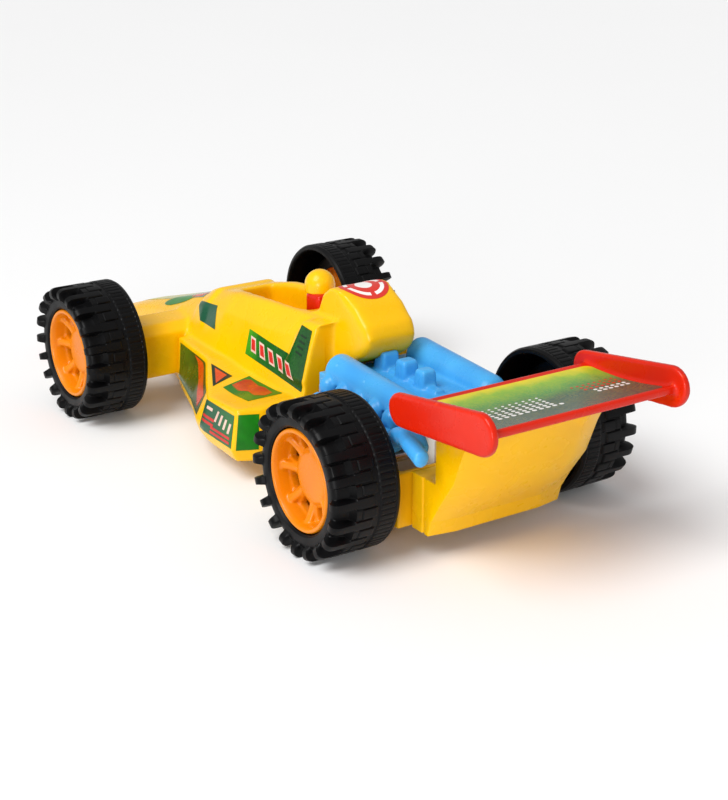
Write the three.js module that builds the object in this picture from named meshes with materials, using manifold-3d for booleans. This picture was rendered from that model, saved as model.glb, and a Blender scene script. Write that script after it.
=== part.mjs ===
// A pull back racing car for the floor: a one-piece yellow body shell over a base, a driver,
// a blue engine moulding, a red rear wing, four lugged tyres on orange rims, and a spring motor
// geared to the rear axle. Millimetres, +Z up, origin on the ground under the middle of the car,
// the nose towards -Y and the car's left side towards +X.
import * as THREE from "three";
import { mergeVertices } from "three/addons/utils/BufferGeometryUtils.js";
import Module from "manifold-3d";

const wasm = await Module();
wasm.setup();

// ---- driving dimensions -------------------------------------------------------------------
const GAP = 0.3; // clearance between neighbouring pieces
const WALL = 2; // thickness of the body mouldings
const LENGTH = 260; // nose tip to the back of the wing
const GROUND_CLEARANCE = 7; // underside of the body
const AXLE_Z = 21.8; // wheel centre, and the radius of a tyre
const FRONT_AXLE_Y = -62.5;
const REAR_AXLE_Y = 69.5;
const FRONT_RIM_X = 57.2; // plane of the rim's outer lip, front wheels
const REAR_RIM_X = 49.8; // the same on the rear wheels, which stand closer together
const AXLE_R = 1.5;

const RIM_R = 14.4; // outer lip of the rim
const RIM_W = 10.4; // lip to inner edge
const WEB_DEPTH = 4.8; // how far the spoked web's face lies inside the lip
const WEB_T = 2.4;
const BOSS_W = 13; // lip to the inner end of the boss round the axle
const HUB_DEPTH = 4; // how far the hub's face lies inside the lip
const HUB_R = 7.5;
const SPOKES = 8;
const TYRE_W = 18.7; // rim plane to the tyre's inner edge
const TYRE_R = 21.8;
const LUG_OUT = 1.85; // how far the shoulder lugs stand outside the rim plane
const LUGS = 20;
const TYRE_SEGMENTS = 24;
const RIM_SEGMENTS = 20;

const SHELL_BACK_Y = 23.5; // rear face of the shoulders
const AXLE_BOX_X = 37.6; // half width of the front axle housing
const WING_X = 32.2; // outer face of the wing's end plates

// Cross-sections of the central body from the nose back. Half widths w and heights z at the
// bottom edge (b), the widest line (m), the shoulder (s) and the top (t).
const TUB = [
  { y: -LENGTH / 2, zb: 9.9, wb: 5.5, zm: 10.8, wm: 6.0, zs: 11.8, ws: 5.0, zt: 12.4, wt: 3.0 },
  { y: -111, zb: 9.4, wb: 9.0, zm: 13.5, wm: 10.0, zs: 17.6, ws: 8.4, zt: 19.0, wt: 5.0 },
  { y: -88, zb: 7.0, wb: 13.0, zm: 16.6, wm: 13.6, zs: 23.4, ws: 10.6, zt: 25.8, wt: 6.0 },
  { y: -70, zb: 7.0, wb: 17.0, zm: 20.0, wm: 17.0, zs: 28.4, ws: 12.6, zt: 31.2, wt: 7.5 },
  { y: -54, zb: 7.0, wb: 21.0, zm: 22.0, wm: 19.0, zs: 32.6, ws: 14.0, zt: 36.4, wt: 8.5 },
  { y: -44, zb: 7.0, wb: 22.0, zm: 23.0, wm: 19.6, zs: 36.0, ws: 14.6, zt: 40.2, wt: 9.5 },
  { y: -30, zb: 7.0, wb: 22.0, zm: 25.0, wm: 20.0, zs: 37.6, ws: 16.0, zt: 43.2, wt: 11.5 },
  { y: -12, zb: 7.0, wb: 22.0, zm: 26.0, wm: 20.0, zs: 38.6, ws: 16.2, zt: 45.2, wt: 11.5 },
  { y: 10, zb: 7.0, wb: 22.0, zm: 25.4, wm: 20.0, zs: 41.0, ws: 16.0, zt: 46.8, wt: 11.0 },
  { y: SHELL_BACK_Y, zb: 7.0, wb: 22.0, zm: 25.0, wm: 20.0, zs: 44.6, ws: 14.6, zt: 47.6, wt: 10.0 },
];

// Cross-sections of a sidepod: the top outer edge, the widest line and the bottom edge.
const POD_INNER_X = 12;
const POD_INNER_Z = 25.2;
const POD = [
  { y: -52, xt: 22.0, zt: 24.0, xw: 22.8, zw: 12.0, xb: 22.2 },
  { y: -25, xt: 25.4, zt: 24.8, xw: 32.0, zw: 12.0, xb: 30.8 },
  { y: -10.5, xt: 33.4, zt: 22.8, xw: 38.2, zw: 11.6, xb: 36.6 },
  { y: -1.8, xt: 38.0, zt: 21.6, xw: 40.2, zw: 11.2, xb: 38.4 },
  { y: 17.5, xt: 38.9, zt: 23.4, xw: 41.0, zw: 11.0, xb: 39.2 },
  { y: 20.8, xt: 31.5, zt: 23.4, xw: 33.6, zw: 11.0, xb: 32.4 },
];

// Side view of the front axle housing and of the airbox behind the driver, as y, z points.
const AXLE_BOX = [[-53, 11], [-53, 25.6], [-56.5, 28.2], [-68.5, 28.2], [-72, 25.6], [-72, 11]];
const AIRBOX = [
  [9, 30], [8.8, 46], [12.6, 54], [16, 56.6], [20, 57.4], [27, 56.6], [33.5, 53.8],
  [38, 49.4], [40, 44.4], [37.6, 39.8], [29.8, 33.6], [20, 30],
];
const AIRBOX_X = 9;

// The cockpit opening seen from above, y and half width.
const COCKPIT = [[-37, 5.2], [-31, 7.6], [-12, 8.8], [2, 8.8], [7.2, 7.6]];
const COCKPIT_FLOOR_Z = 31;

// Rear face of the tail panel, swept back towards the wing: height z and y there.
const TAIL = [[7.1, 91], [11.7, 92.3], [17.9, 96.2], [25.8, 101.9], [35.6, 105.8], [44.4, 110.4]];
const TAIL_X = 22.4;
const TAIL_FOLD_X = 14;
const TAIL_FOLD_OUT = 1.5;
const TAIL_DECK_Z = 23.3; // top of the tail's lower box
const TAIL_FRONT_Y = 83.6;
const TAIL_POST_Y = 94; // front of the posts under the wing

// The spring motor's gears: pitch radius is half of module times teeth.
const MODULE = 0.6;
const DRIVE_TEETH = 12; // on the rear axle
const IDLER_TEETH = 28; // meshes with the drive gear
const IDLER_PINION_TEETH = 12; // meshes with the spring gear
const SPRING_TEETH = 32;
const pitchR = (teeth) => (MODULE * teeth) / 2;
const IDLER_BELOW = 1.5; // idler shaft below the axle
const SPRING_Z = 21.4;
const IDLER = (() => {
  const z = AXLE_Z - IDLER_BELOW;
  const reach = pitchR(DRIVE_TEETH) + pitchR(IDLER_TEETH);
  return { y: REAR_AXLE_Y - Math.sqrt(reach ** 2 - IDLER_BELOW ** 2), z };
})();
const SPRING = (() => {
  const reach = pitchR(IDLER_PINION_TEETH) + pitchR(SPRING_TEETH);
  return { y: IDLER.y - Math.sqrt(reach ** 2 - (SPRING_Z - IDLER.z) ** 2), z: SPRING_Z };
})();
const CASE = { x: 10.4, y0: 32.4, y1: 77, z0: 9.6, z1: 33.2, wall: 1.4 };
const FAST_GEARS_X = [3.6, 7.6]; // drive gear and the idler's large wheel
const SLOW_GEARS_X = [-1.0, 3.0]; // the idler's pinion and the spring gear

const SCREWS = {
  screw_front: [0, -97],
  screw_middle_left: [28, 5],
  screw_middle_right: [-28, 5],
  screw_rear_left: [17, 86.8],
  screw_rear_right: [-17, 86.8],
};

// ---- materials ----------------------------------------------------------------------------
const plastic = (color, roughness = 0.35) =>
  new THREE.MeshStandardMaterial({ color, roughness, metalness: 0 });
const yellow = () => plastic(0xffd400);
const red = () => plastic(0xe8320a);
const blue = () => plastic(0x4aaee8);
const orange = () => plastic(0xf0920f);
const rubber = () => plastic(0x151414, 0.45);
const motorWhite = () => plastic(0xe9e6dc, 0.45);
const steel = () => new THREE.MeshStandardMaterial({ color: 0xb9bcc0, roughness: 0.3, metalness: 1 });

// ---- shape helpers ------------------------------------------------------------------------
// A closed geometry as a solid, with its faces turned outwards.
function solid(geometry) {
  const bare = new THREE.BufferGeometry();
  bare.setAttribute("position", geometry.getAttribute("position").clone());
  if (geometry.index) bare.setIndex(geometry.index.clone());
  const merged = mergeVertices(bare, 1e-4);
  const vertProperties = merged.attributes.position.array;
  const triVerts = [];
  const at = (i) => new THREE.Vector3().fromArray(vertProperties, 3 * i);
  let volume = 0;
  for (let i = 0; i < merged.index.count; i += 3) {
    const [a, b, c] = [0, 1, 2].map((k) => merged.index.getX(i + k));
    if (a === b || b === c || c === a) continue;
    triVerts.push(a, b, c);
    volume += at(a).dot(at(b).cross(at(c)));
  }
  if (volume < 0) triVerts.reverse();
  return new wasm.Manifold(
    new wasm.Mesh({ numProp: 3, vertProperties, triVerts: Uint32Array.from(triVerts) }),
  );
}

function union(...solids) {
  return solids.flat().reduce((a, b) => a.add(b));
}

function geometryOf(made) {
  const out = made.getMesh();
  const geometry = new THREE.BufferGeometry();
  geometry.setAttribute("position", new THREE.BufferAttribute(out.vertProperties, 3));
  geometry.setIndex(new THREE.BufferAttribute(out.triVerts, 1));
  geometry.computeVertexNormals();
  return geometry;
}

function box(x0, x1, y0, y1, z0, z1) {
  const g = new THREE.BoxGeometry(x1 - x0, y1 - y0, z1 - z0);
  return solid(g.translate((x0 + x1) / 2, (y0 + y1) / 2, (z0 + z1) / 2));
}

const shapeOf = (points) => new THREE.Shape(points.map(([a, b]) => new THREE.Vector2(a, b)));

// A y, z outline swept along X.
function extrudeX(points, x0, x1) {
  const g = new THREE.ExtrudeGeometry(shapeOf(points), { depth: x1 - x0, bevelEnabled: false });
  g.applyMatrix4(
    new THREE.Matrix4().makeBasis(
      new THREE.Vector3(0, 1, 0), new THREE.Vector3(0, 0, 1), new THREE.Vector3(1, 0, 0),
    ),
  );
  return solid(g.translate(x0, 0, 0));
}

// An x, z outline swept along Y.
function extrudeY(points, y0, y1) {
  const g = new THREE.ExtrudeGeometry(shapeOf(points), { depth: y1 - y0, bevelEnabled: false });
  return solid(g.rotateX(Math.PI / 2).translate(0, y1, 0));
}

// An x, y outline swept up Z.
function extrudeZ(points, z0, z1) {
  const g = new THREE.ExtrudeGeometry(shapeOf(points), { depth: z1 - z0, bevelEnabled: false });
  return solid(g.translate(0, 0, z0));
}

// A closed profile of radius and x, turned about the X axis.
function latheX(profile, segments) {
  const points = profile.map(([r, x]) => new THREE.Vector2(r, x));
  const onAxis = profile[0][0] === 0;
  if (!onAxis) points.push(points[0].clone());
  return solid(new THREE.LatheGeometry(points, segments).rotateZ(-Math.PI / 2));
}

const rodX = (r, x0, x1, y, z, segments = 16) =>
  latheX([[0, x0], [r, x0], [r, x1], [0, x1]], segments).translate([0, y, z]);

function rodZ(r, z0, z1, x, y, segments = 16) {
  const g = new THREE.CylinderGeometry(r, r, z1 - z0, segments).rotateX(Math.PI / 2);
  return solid(g.translate(x, y, (z0 + z1) / 2));
}

// Skin through closed outlines that have the same number of points, with flat ends.
function loft(outlines) {
  const n = outlines[0].length;
  const index = [];
  outlines.slice(1).forEach((_, s) => {
    for (let i = 0; i < n; i++) {
      const [a, b] = [s * n + i, s * n + ((i + 1) % n)];
      index.push(a, b, b + n, a, b + n, a + n);
    }
  });
  const cap = (first, flip) => {
    for (let i = 1; i < n - 1; i++)
      index.push(first, ...(flip ? [first + i, first + i + 1] : [first + i + 1, first + i]));
  };
  cap(0, false);
  cap(n * (outlines.length - 1), true);
  const g = new THREE.BufferGeometry();
  g.setAttribute("position", new THREE.Float32BufferAttribute(outlines.flat(2), 3));
  g.setIndex(index);
  return solid(g);
}

// Outline points round a circle, from one angle to another.
function arc(cx, cy, r, from, to, steps) {
  return Array.from({ length: steps + 1 }, (_, i) => {
    const a = from + ((to - from) * i) / steps;
    return [cx + r * Math.cos(a), cy + r * Math.sin(a)];
  });
}

const mirrored = (made) => made.mirror([1, 0, 0]);

// ---- body shell and base ------------------------------------------------------------------
// The outer form of the body, drawn in by `inset`. The inner form runs down past the bottom.
function bodyForm(inset) {
  const low = (z) => (inset ? 0 : z);
  const last = TUB.length - 1;
  const tub = loft(
    TUB.map((s, i) => {
      const y = s.y + (i === 0 ? 3 * inset : 0) - (i === last ? inset : 0);
      const half = [
        [s.wb - inset, low(s.zb)], [s.wm - inset, s.zm], [s.ws - inset, s.zs - 0.5 * inset],
        [s.wt - 0.6 * inset, s.zt - inset],
      ];
      const left = half.map(([w, z]) => [Math.max(w, 1), y, z]);
      return [...left, ...left.toReversed().map(([x, , z]) => [-x, y, z])];
    }),
  );
  const pod = loft(
    POD.map((s, i) => {
      const y = s.y + (i === 0 ? inset : 0) - (i === POD.length - 1 ? inset : 0);
      return [
        [POD_INNER_X, y, low(GROUND_CLEARANCE)], [s.xb - inset, y, low(GROUND_CLEARANCE)],
        [s.xw - inset, y, s.zw], [s.xt - inset, y, s.zt - inset],
        [POD_INNER_X, y, POD_INNER_Z - inset],
      ];
    }),
  );
  const [[ay0, az0], , [, aTop], , [ay1]] = [AXLE_BOX[0], 0, AXLE_BOX[2], 0, AXLE_BOX[4]];
  const shrink = (v, middle) => v - Math.sign(v - middle) * inset;
  const axleBox = extrudeX(
    AXLE_BOX.map(([y, z]) => [shrink(y, (ay0 + ay1) / 2), shrink(z, (az0 + aTop) / 2)]),
    -AXLE_BOX_X + inset, AXLE_BOX_X - inset,
  );
  const airbox = extrudeX(
    AIRBOX.map(([y, z]) => [shrink(y, 22), z - (z > 31 ? inset : 0)]),
    -AIRBOX_X + inset, AIRBOX_X - inset,
  );
  return union(tub, pod, mirrored(pod), axleBox, airbox);
}

function cockpit(grow) {
  const points = [
    ...COCKPIT.map(([y, w]) => [w + grow, y + Math.sign(y) * grow]),
    ...COCKPIT.toReversed().map(([y, w]) => [-w - grow, y + Math.sign(y) * grow]),
  ];
  return extrudeZ(points, COCKPIT_FLOOR_Z - grow, 50);
}

const PLATE_FRONT_Y = -111.5;
const BRIDGE = { x: 17.6, y0: 18, y1: 27, z0: GROUND_CLEARANCE + 0.2, z1: 9.2 };
const BOSS_R = 3.2;
const SCREW_R = 1.2;
const SCREW_HEAD_R = 2.1;

function bodyShell() {
  const bosses = ["screw_front", "screw_middle_left", "screw_middle_right"].map((name) => {
    const [x, y] = SCREWS[name];
    const boss = rodZ(BOSS_R, BRIDGE.z1 + GAP, 40, x, y, 12);
    return boss.intersect(bodyForm(WALL / 2)).subtract(rodZ(SCREW_R + GAP, 5, 18, x, y, 12));
  });
  const hollow = bodyForm(WALL).subtract(cockpit(WALL));
  const bridgeSlot = box(
    -BRIDGE.x - GAP, BRIDGE.x + GAP, BRIDGE.y0, BRIDGE.y1, 0, BRIDGE.z1 + GAP,
  );
  return union(bodyForm(0).subtract(hollow).subtract(cockpit(0)), bosses)
    .subtract(bridgeSlot)
    .subtract(rodX(AXLE_R + 2 * GAP, -50, 50, FRONT_AXLE_Y, AXLE_Z));
}

// Half of the rear tub's outline, x and y, drawn in by `inset`.
function tubOutline(inset) {
  const front = SHELL_BACK_Y + 0.8;
  const back = TAIL_FRONT_Y - 0.4;
  const half = [[24, front + inset], [24, 50], [26.8, 54], [26.8, back - inset]];
  const left = half.map(([x, y]) => [x - inset, y]);
  return [...left, ...left.toReversed().map(([x, y]) => [-x, y])];
}
const TUB_TOP_Z = 23.3;
const BEARING_X = 13.5; // middle of each front bearing post

function chassisBase() {
  const plateForm = bodyForm(WALL + 2 * GAP);
  const plate = plateForm.intersect(box(-60, 60, PLATE_FRONT_Y, 60, BRIDGE.z0, BRIDGE.z1));
  const bridge = box(-BRIDGE.x, BRIDGE.x, BRIDGE.y0, BRIDGE.y1, BRIDGE.z0, BRIDGE.z1);
  const tub = extrudeZ(tubOutline(0), BRIDGE.z0, TUB_TOP_Z).subtract(
    extrudeZ(tubOutline(WALL), BRIDGE.z1, TUB_TOP_Z + 5),
  );
  const posts = [-BEARING_X, BEARING_X].map((x) =>
    box(x - 1.5, x + 1.5, FRONT_AXLE_Y - 4, FRONT_AXLE_Y + 4, BRIDGE.z0, AXLE_Z + 3),
  );
  const axleSlot = (y) =>
    union(
      rodX(AXLE_R + GAP, -40, 40, y, AXLE_Z),
      box(-40, 40, y - AXLE_R - GAP, y + AXLE_R + GAP, AXLE_Z, 40),
    );
  const screwHoles = Object.values(SCREWS)
    .filter(([, y]) => y < TAIL_FRONT_Y)
    .map(([x, y]) => union(rodZ(SCREW_R + GAP, 5, 10, x, y, 12), rodZ(SCREW_HEAD_R + GAP, 5, 8.1, x, y, 12)));
  return union(plate, bridge, tub, posts)
    .subtract(axleSlot(FRONT_AXLE_Y))
    .subtract(axleSlot(REAR_AXLE_Y))
    .subtract(union(screwHoles));
}

function screw([x, y]) {
  const head = rodZ(SCREW_HEAD_R, BRIDGE.z0 + 0.1, 7.9, x, y, 12);
  const shank = rodZ(SCREW_R, 7.5, 17, x, y, 12);
  return union(head, shank);
}

// ---- driver -------------------------------------------------------------------------------
const DRIVER_Y = 1.8;
const HELMET = { r: 4.7, z: 51.9 };

function driverHelmet() {
  const ball = solid(
    new THREE.SphereGeometry(HELMET.r, 14, 10).translate(0, DRIVER_Y, HELMET.z),
  );
  return ball.subtract(box(-9, 9, -9, 12, 40, 48.6));
}

function driverTorso() {
  const level = (z, w, y0, y1) => [
    [w, y0 + 1.4, z], [w, y1, z], [-w, y1, z], [-w, y0 + 1.4, z], [-w + 1.6, y0, z], [w - 1.6, y0, z],
  ];
  return loft([
    level(COCKPIT_FLOOR_Z + GAP, 6.6, -5, 5.6), level(41, 6.8, -4.6, 5.8),
    level(45.6, 5.8, -3.4, 5.8), level(48.3, 3.4, -1.6, 5.2),
  ]);
}

// ---- engine -------------------------------------------------------------------------------
const CAM = { x: 14.2, r: 5, y0: 32, z0: 36.3, y1: 73, z1: 34.3 }; // covers fall to the rear
const DECK = { x: 18, y0: 30, y1: 74, z0: 33.7, z1: 35 };
const SKIRT = { x: 11.4, z: 28.6 }; // the deck's sides hang down outside the motor
const PORTS_Y = [33, 41, 49, 57, 65];
const INLETS_Y = [39, 49.4, 59.4];

function engineBlock() {
  const { x, y0, y1, z0, z1 } = DECK;
  const deck = box(-x, x, y0, y1, z0, z1);
  const skirt = box(SKIRT.x, x, y0, y1, SKIRT.z, z1);
  const camOutline = (y, z) =>
    [[CAM.x + CAM.r, z0], ...arc(CAM.x, z, CAM.r, 0, Math.PI, 8), [CAM.x - CAM.r, z0]].map(
      ([px, pz]) => [px, y, pz],
    );
  const cam = loft([camOutline(CAM.y0, CAM.z0), camOutline(CAM.y1, CAM.z1)]);
  const ports = PORTS_Y.map((y) => {
    const ring = (px, r, z) => arc(y, z, r, 0, 2 * Math.PI, 8).slice(0, 8)
      .map(([py, pz]) => [px, py, pz]);
    return loft([ring(x - 2, 3.4, 32.6), ring(x + 2, 3.2, 32.2), ring(x + 3.2, 2, 31.8)]);
  });
  const inlets = INLETS_Y.map((y) => {
    const ring = (z, w, l) => [[w, y - l, z], [w, y + l, z], [-w, y + l, z], [-w, y - l, z]];
    return loft([ring(z1 - 1, 3.6, 3.2), ring(39.8, 2.4, 1.9)]);
  });
  // The body's airbox overhangs the front of the deck.
  const airbox = extrudeX(
    AIRBOX.map(([y, z]) => [y + (y > 22 ? 0.5 : 0), z - (z < 40 ? 0.5 : 0)]),
    -AIRBOX_X - 0.5, AIRBOX_X + 0.5,
  );
  const side = union(skirt, cam, ports);
  return union(deck, side, mirrored(side), inlets).subtract(airbox);
}

// One bank of exhausts: a collector along the engine's side and a forked tail pipe.
const COLLECTOR = { x: 24.4, z: 27.6, r: 2.8 };

function exhaustBank() {
  const { x, z, r } = COLLECTOR;
  const section = (cx, cy, cz, cr) =>
    arc(cx, cz, cr, 0, 2 * Math.PI, 8).slice(0, 8).map(([px, pz]) => [px, cy, pz]);
  const collector = loft([section(x, 31, z, r), section(x, 78, z + 2.6, r)]);
  const stubs = PORTS_Y.map((y) =>
    loft([
      arc(y, z + 0.6, 2.4, 0, 2 * Math.PI, 6).slice(0, 6).map(([py, pz]) => [x, py, pz]),
      arc(y, 30.2, 2, 0, 2 * Math.PI, 6).slice(0, 6).map(([py, pz]) => [21.6, py, pz]),
    ]),
  );
  const tails = [[26.2, 93], [28.4, 97.5]].map(([tx, ty]) =>
    loft([
      section(x, 77, z + 2.6, 2.6), section((x + tx) / 2, 85, 35.6, 2.5), section(tx, ty, 32.6, 2.1),
    ]),
  );
  return union(collector, stubs, tails);
}

// ---- tail and wings -----------------------------------------------------------------------
function tail() {
  const level = ([z, y], front, x, inset) => {
    const out = z > TAIL[1][0] ? TAIL_FOLD_OUT : 0;
    const half = [[x, front], [x, y - inset], [TAIL_FOLD_X - inset / 2, y + out - inset]];
    return [...half, ...half.toReversed().map(([px, py]) => [-px, py])]
      .map(([px, py]) => [px, py, z]);
  };
  const deck = TAIL.findIndex(([z]) => z > TAIL_DECK_Z);
  const [[z0, y0], [z1, y1]] = [TAIL[deck - 1], TAIL[deck]];
  const atDeck = [TAIL_DECK_Z, y0 + ((y1 - y0) * (TAIL_DECK_Z - z0)) / (z1 - z0)];
  const lower = [...TAIL.slice(0, deck), atDeck];
  const upper = [atDeck, ...TAIL.slice(deck)];
  const hollow = (levels, front) =>
    levels.map((p, i) => {
      const end = i === 0 ? -2 : i === levels.length - 1 ? 2 : 0;
      return level([p[0] + end, p[1]], front, TAIL_X - WALL, WALL);
    });
  const bosses = ["screw_rear_left", "screw_rear_right"].map((name) =>
    rodZ(BOSS_R, 9, TAIL_DECK_Z - 1, ...SCREWS[name], 12)
      .subtract(rodZ(SCREW_R + GAP, 5, 18, ...SCREWS[name], 12)),
  );
  const block = loft(lower.map((p) => level(p, TAIL_FRONT_Y, TAIL_X, 0)))
    .subtract(loft(hollow(lower.slice(0, -1).concat([[21.3, 98.6]]), 80).map((o, i, all) =>
      i === all.length - 1 ? o.map(([x, y]) => [x, y, 21.3]) : o)));
  const posts = loft(upper.map((p) => level(p, TAIL_POST_Y, TAIL_X, 0)))
    .subtract(loft(hollow(upper, 90)));
  return union(block, posts, bosses);
}

// Side view of an end plate: two arcs, small at the front and large at the back.
function endPlateOutline(front, back) {
  const [fy, fz, fr] = front;
  const [by, bz, br] = back;
  const tilt = Math.atan2(bz - fz, by - fy);
  const taper = Math.asin((br - fr) / Math.hypot(by - fy, bz - fz));
  const [a, b] = [Math.PI / 2 + taper, -Math.PI / 2 - taper];
  return [
    ...arc(by, bz, br, b + tilt, a + tilt, 10),
    ...arc(fy, fz, fr, a + tilt, b + tilt + 2 * Math.PI, 8),
  ];
}

const WING = { y0: 91, z0: 46.4, y1: 126.6, z1: 49.8, thick: 1.8, dip: 1.4 };
const PLATE_FRONT = [90.6, 44.9, 4.6];
const PLATE_BACK = [LENGTH / 2 - 5.6, 49.2, 5.6];

// A thin sheet in side view, dished between its two edges.
function wingOutline({ y0, z0, y1, z1, thick, dip }) {
  const steps = 6;
  const top = Array.from({ length: steps + 1 }, (_, i) => {
    const t = i / steps;
    return [y0 + (y1 - y0) * t, z0 + (z1 - z0) * t - dip * Math.sin(Math.PI * t)];
  });
  return [...top.map(([y, z]) => [y, z - thick]), ...top.toReversed()];
}

function rearWing() {
  const plane = extrudeX(wingOutline(WING), -WING_X + 1, WING_X - 1);
  const plate = extrudeX(endPlateOutline(PLATE_FRONT, PLATE_BACK), WING_X - 2, WING_X);
  return union(plane, plate, mirrored(plate));
}

const FRONT_WING = { y0: -129.4, z0: 9.4, y1: -112.5, z1: 9.4, thick: 1.6, dip: 0 };
const FRONT_WING_X = 34;

function frontWing() {
  const plane = extrudeX(wingOutline(FRONT_WING), -FRONT_WING_X + 1, FRONT_WING_X - 1);
  const plate = extrudeX(
    endPlateOutline([-125.4, 9.2, 1.7], [-114.6, 9.2, 1.9]), FRONT_WING_X - 1.8, FRONT_WING_X,
  );
  return union(plane, plate, mirrored(plate));
}

// ---- wheels -------------------------------------------------------------------------------
// Wheel pieces are drawn with their lip plane at x = 0 and the axle along X, inboard at -x.
function rim() {
  const webBack = WEB_DEPTH + WEB_T;
  const disc = latheX(
    [
      [0, -HUB_DEPTH], [HUB_R - 1.4, -HUB_DEPTH - 0.1], [HUB_R, -WEB_DEPTH], [12.2, -WEB_DEPTH],
      [12.5, -2.4], [RIM_R - 0.9, 0], [RIM_R, -0.7], [RIM_R, -RIM_W], [RIM_R - 1.6, -RIM_W],
      [RIM_R - 1.6, -webBack], [3.8, -webBack], [3.8, -BOSS_W], [AXLE_R + GAP, -BOSS_W],
      [AXLE_R + GAP, -HUB_DEPTH - WEB_T], [0, -HUB_DEPTH - WEB_T],
    ],
    RIM_SEGMENTS,
  );
  const windows = Array.from({ length: SPOKES }, (_, i) => {
    const middle = (2 * Math.PI * (i + 0.5)) / SPOKES;
    const half = Math.PI / SPOKES - 0.2;
    const outline = [
      ...arc(0, 0, 8.4, middle - half, middle + half, 2),
      ...arc(0, 0, 11.8, middle + half, middle - half, 2),
    ];
    return extrudeX(outline, -webBack - 1, -WEB_DEPTH + 1);
  });
  return disc.subtract(union(windows));
}

function tyre() {
  const bead = RIM_R + GAP;
  const crown = TYRE_R - 0.15;
  const carcass = latheX(
    [
      [bead, -0.3], [18.4, 0.2], [19.7, -1.2], [19.7, -6.6], [crown, -6.8], [crown, -TYRE_W],
      [crown - 2, -TYRE_W], [crown - 2.6, -4], [17, -2.6], [16.6, -10], [bead, -10],
    ],
    TYRE_SEGMENTS,
  );
  // The shoulder lugs are one toothed ring, bevelled towards the sidewall.
  const step = (2 * Math.PI) / LUGS;
  const lugRing = (x, tip, root) =>
    Array.from({ length: LUGS }, (_, i) =>
      [[root, -0.31], [tip, -0.25], [tip, 0.25], [root, 0.31]].map(([r, t]) => [
        x, r * Math.cos(step * (i + t)), r * Math.sin(step * (i + t)),
      ]),
    ).flat();
  const tip = TYRE_R / Math.cos(step / 4); // so that a lug's flat reaches the full radius
  const lugs = loft([lugRing(LUG_OUT, 20.6, 19), lugRing(-0.4, tip, 19.9), lugRing(-7, tip, 19.9)]).subtract(
    rodX(17.4, -8, LUG_OUT + 1, 0, 0, TYRE_SEGMENTS),
  );
  return union(carcass, lugs);
}

// ---- spring motor -------------------------------------------------------------------------
// A gear along X: straight-sided teeth whose flanks leave room for the mating teeth.
function gear(teeth, x0, x1, boreR) {
  const r = pitchR(teeth);
  const [tip, root] = [r + 0.7 * MODULE, r - 1.1 * MODULE];
  const step = (2 * Math.PI) / teeth;
  const outline = Array.from({ length: teeth }, (_, i) =>
    [[root, -0.3], [tip, -0.12], [tip, 0.12], [root, 0.3]].map(([radius, t]) => [
      radius * Math.cos(step * (i + t)), radius * Math.sin(step * (i + t)),
    ]),
  ).flat();
  const blank = extrudeX(outline, x0, x1);
  return boreR ? blank.subtract(rodX(boreR, x0 - 1, x1 + 1, 0, 0, 12)) : blank;
}

// Turns a gear so that one of its gaps, or teeth, faces a mating shaft.
function facing(made, from, to, teeth, tooth) {
  const direction = (Math.atan2(to.z - from.z, to.y - from.y) * 180) / Math.PI;
  return made.rotate([direction + (tooth ? 0 : 180 / teeth), 0, 0]).translate([0, from.y, from.z]);
}

const AXLE = { y: REAR_AXLE_Y, z: AXLE_Z };

function driveGear() {
  return facing(gear(DRIVE_TEETH, ...FAST_GEARS_X, AXLE_R + GAP), AXLE, IDLER, DRIVE_TEETH, true);
}

function idlerGear() {
  const wheel = facing(
    gear(IDLER_TEETH, ...FAST_GEARS_X, AXLE_R), IDLER, AXLE, IDLER_TEETH, false,
  );
  const pinion = facing(
    gear(IDLER_PINION_TEETH, SLOW_GEARS_X[0], FAST_GEARS_X[0] + 0.2, AXLE_R),
    IDLER, SPRING, IDLER_PINION_TEETH, true,
  );
  return union(wheel, pinion);
}

function springGear() {
  return facing(
    gear(SPRING_TEETH, ...SLOW_GEARS_X, AXLE_R), SPRING, IDLER, SPRING_TEETH, false,
  );
}

// The mainspring: a flat strip wound about the arbor.
function mainspring() {
  const [turns, steps, inner, pitch, thick] = [3, 20, 2.4, 2.0, 0.5];
  const edge = (offset) =>
    Array.from({ length: turns * steps + 1 }, (_, i) => {
      const a = (2 * Math.PI * i) / steps;
      const r = inner + (pitch * i) / steps + offset;
      return [SPRING.y + r * Math.cos(a), SPRING.z + r * Math.sin(a)];
    });
  return extrudeX([...edge(0), ...edge(thick).toReversed()], -7.8, -1.8);
}

function motorCaseLeft() {
  const { x, y0, y1, z0, z1, wall } = CASE;
  const outline = (w) => [
    [y0 + w, z0 + 4], [y0 + 4, z0 + w], [y1 - 4, z0 + w], [y1 - w, z0 + 4],
    [y1 - w, z1 - 6], [y1 - 6, z1 - w], [y0 + 4, z1 - w], [y0 + w, z1 - 4],
  ];
  return extrudeX(outline(0), GAP / 2, x)
    .subtract(extrudeX(outline(wall), -1, x - wall))
    .subtract(rodX(AXLE_R + GAP, -1, x + 1, REAR_AXLE_Y, AXLE_Z));
}

function pin({ y, z }) {
  const end = CASE.x - CASE.wall - 0.2;
  return rodX(AXLE_R - GAP, -end, end, y, z, 12);
}

// ---- assembly -----------------------------------------------------------------------------
const car = new THREE.Group();

function place(name, made, material, parent = car) {
  const mesh = new THREE.Mesh(geometryOf(made), material);
  mesh.name = name;
  parent.add(mesh);
  return mesh;
}

place("body_shell", bodyShell(), yellow());
place("chassis_base", chassisBase(), yellow());
place("tail_panel", tail(), yellow());
place("driver_helmet", driverHelmet(), yellow());
place("driver_torso", driverTorso(), red());
place("engine_block", engineBlock(), blue());
place("exhaust_left", exhaustBank(), blue());
place("exhaust_right", mirrored(exhaustBank()), blue());
place("rear_wing", rearWing(), red());
place("front_wing", frontWing(), red());
Object.entries(SCREWS).forEach(([name, at]) => place(name, screw(at), steel()));

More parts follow.
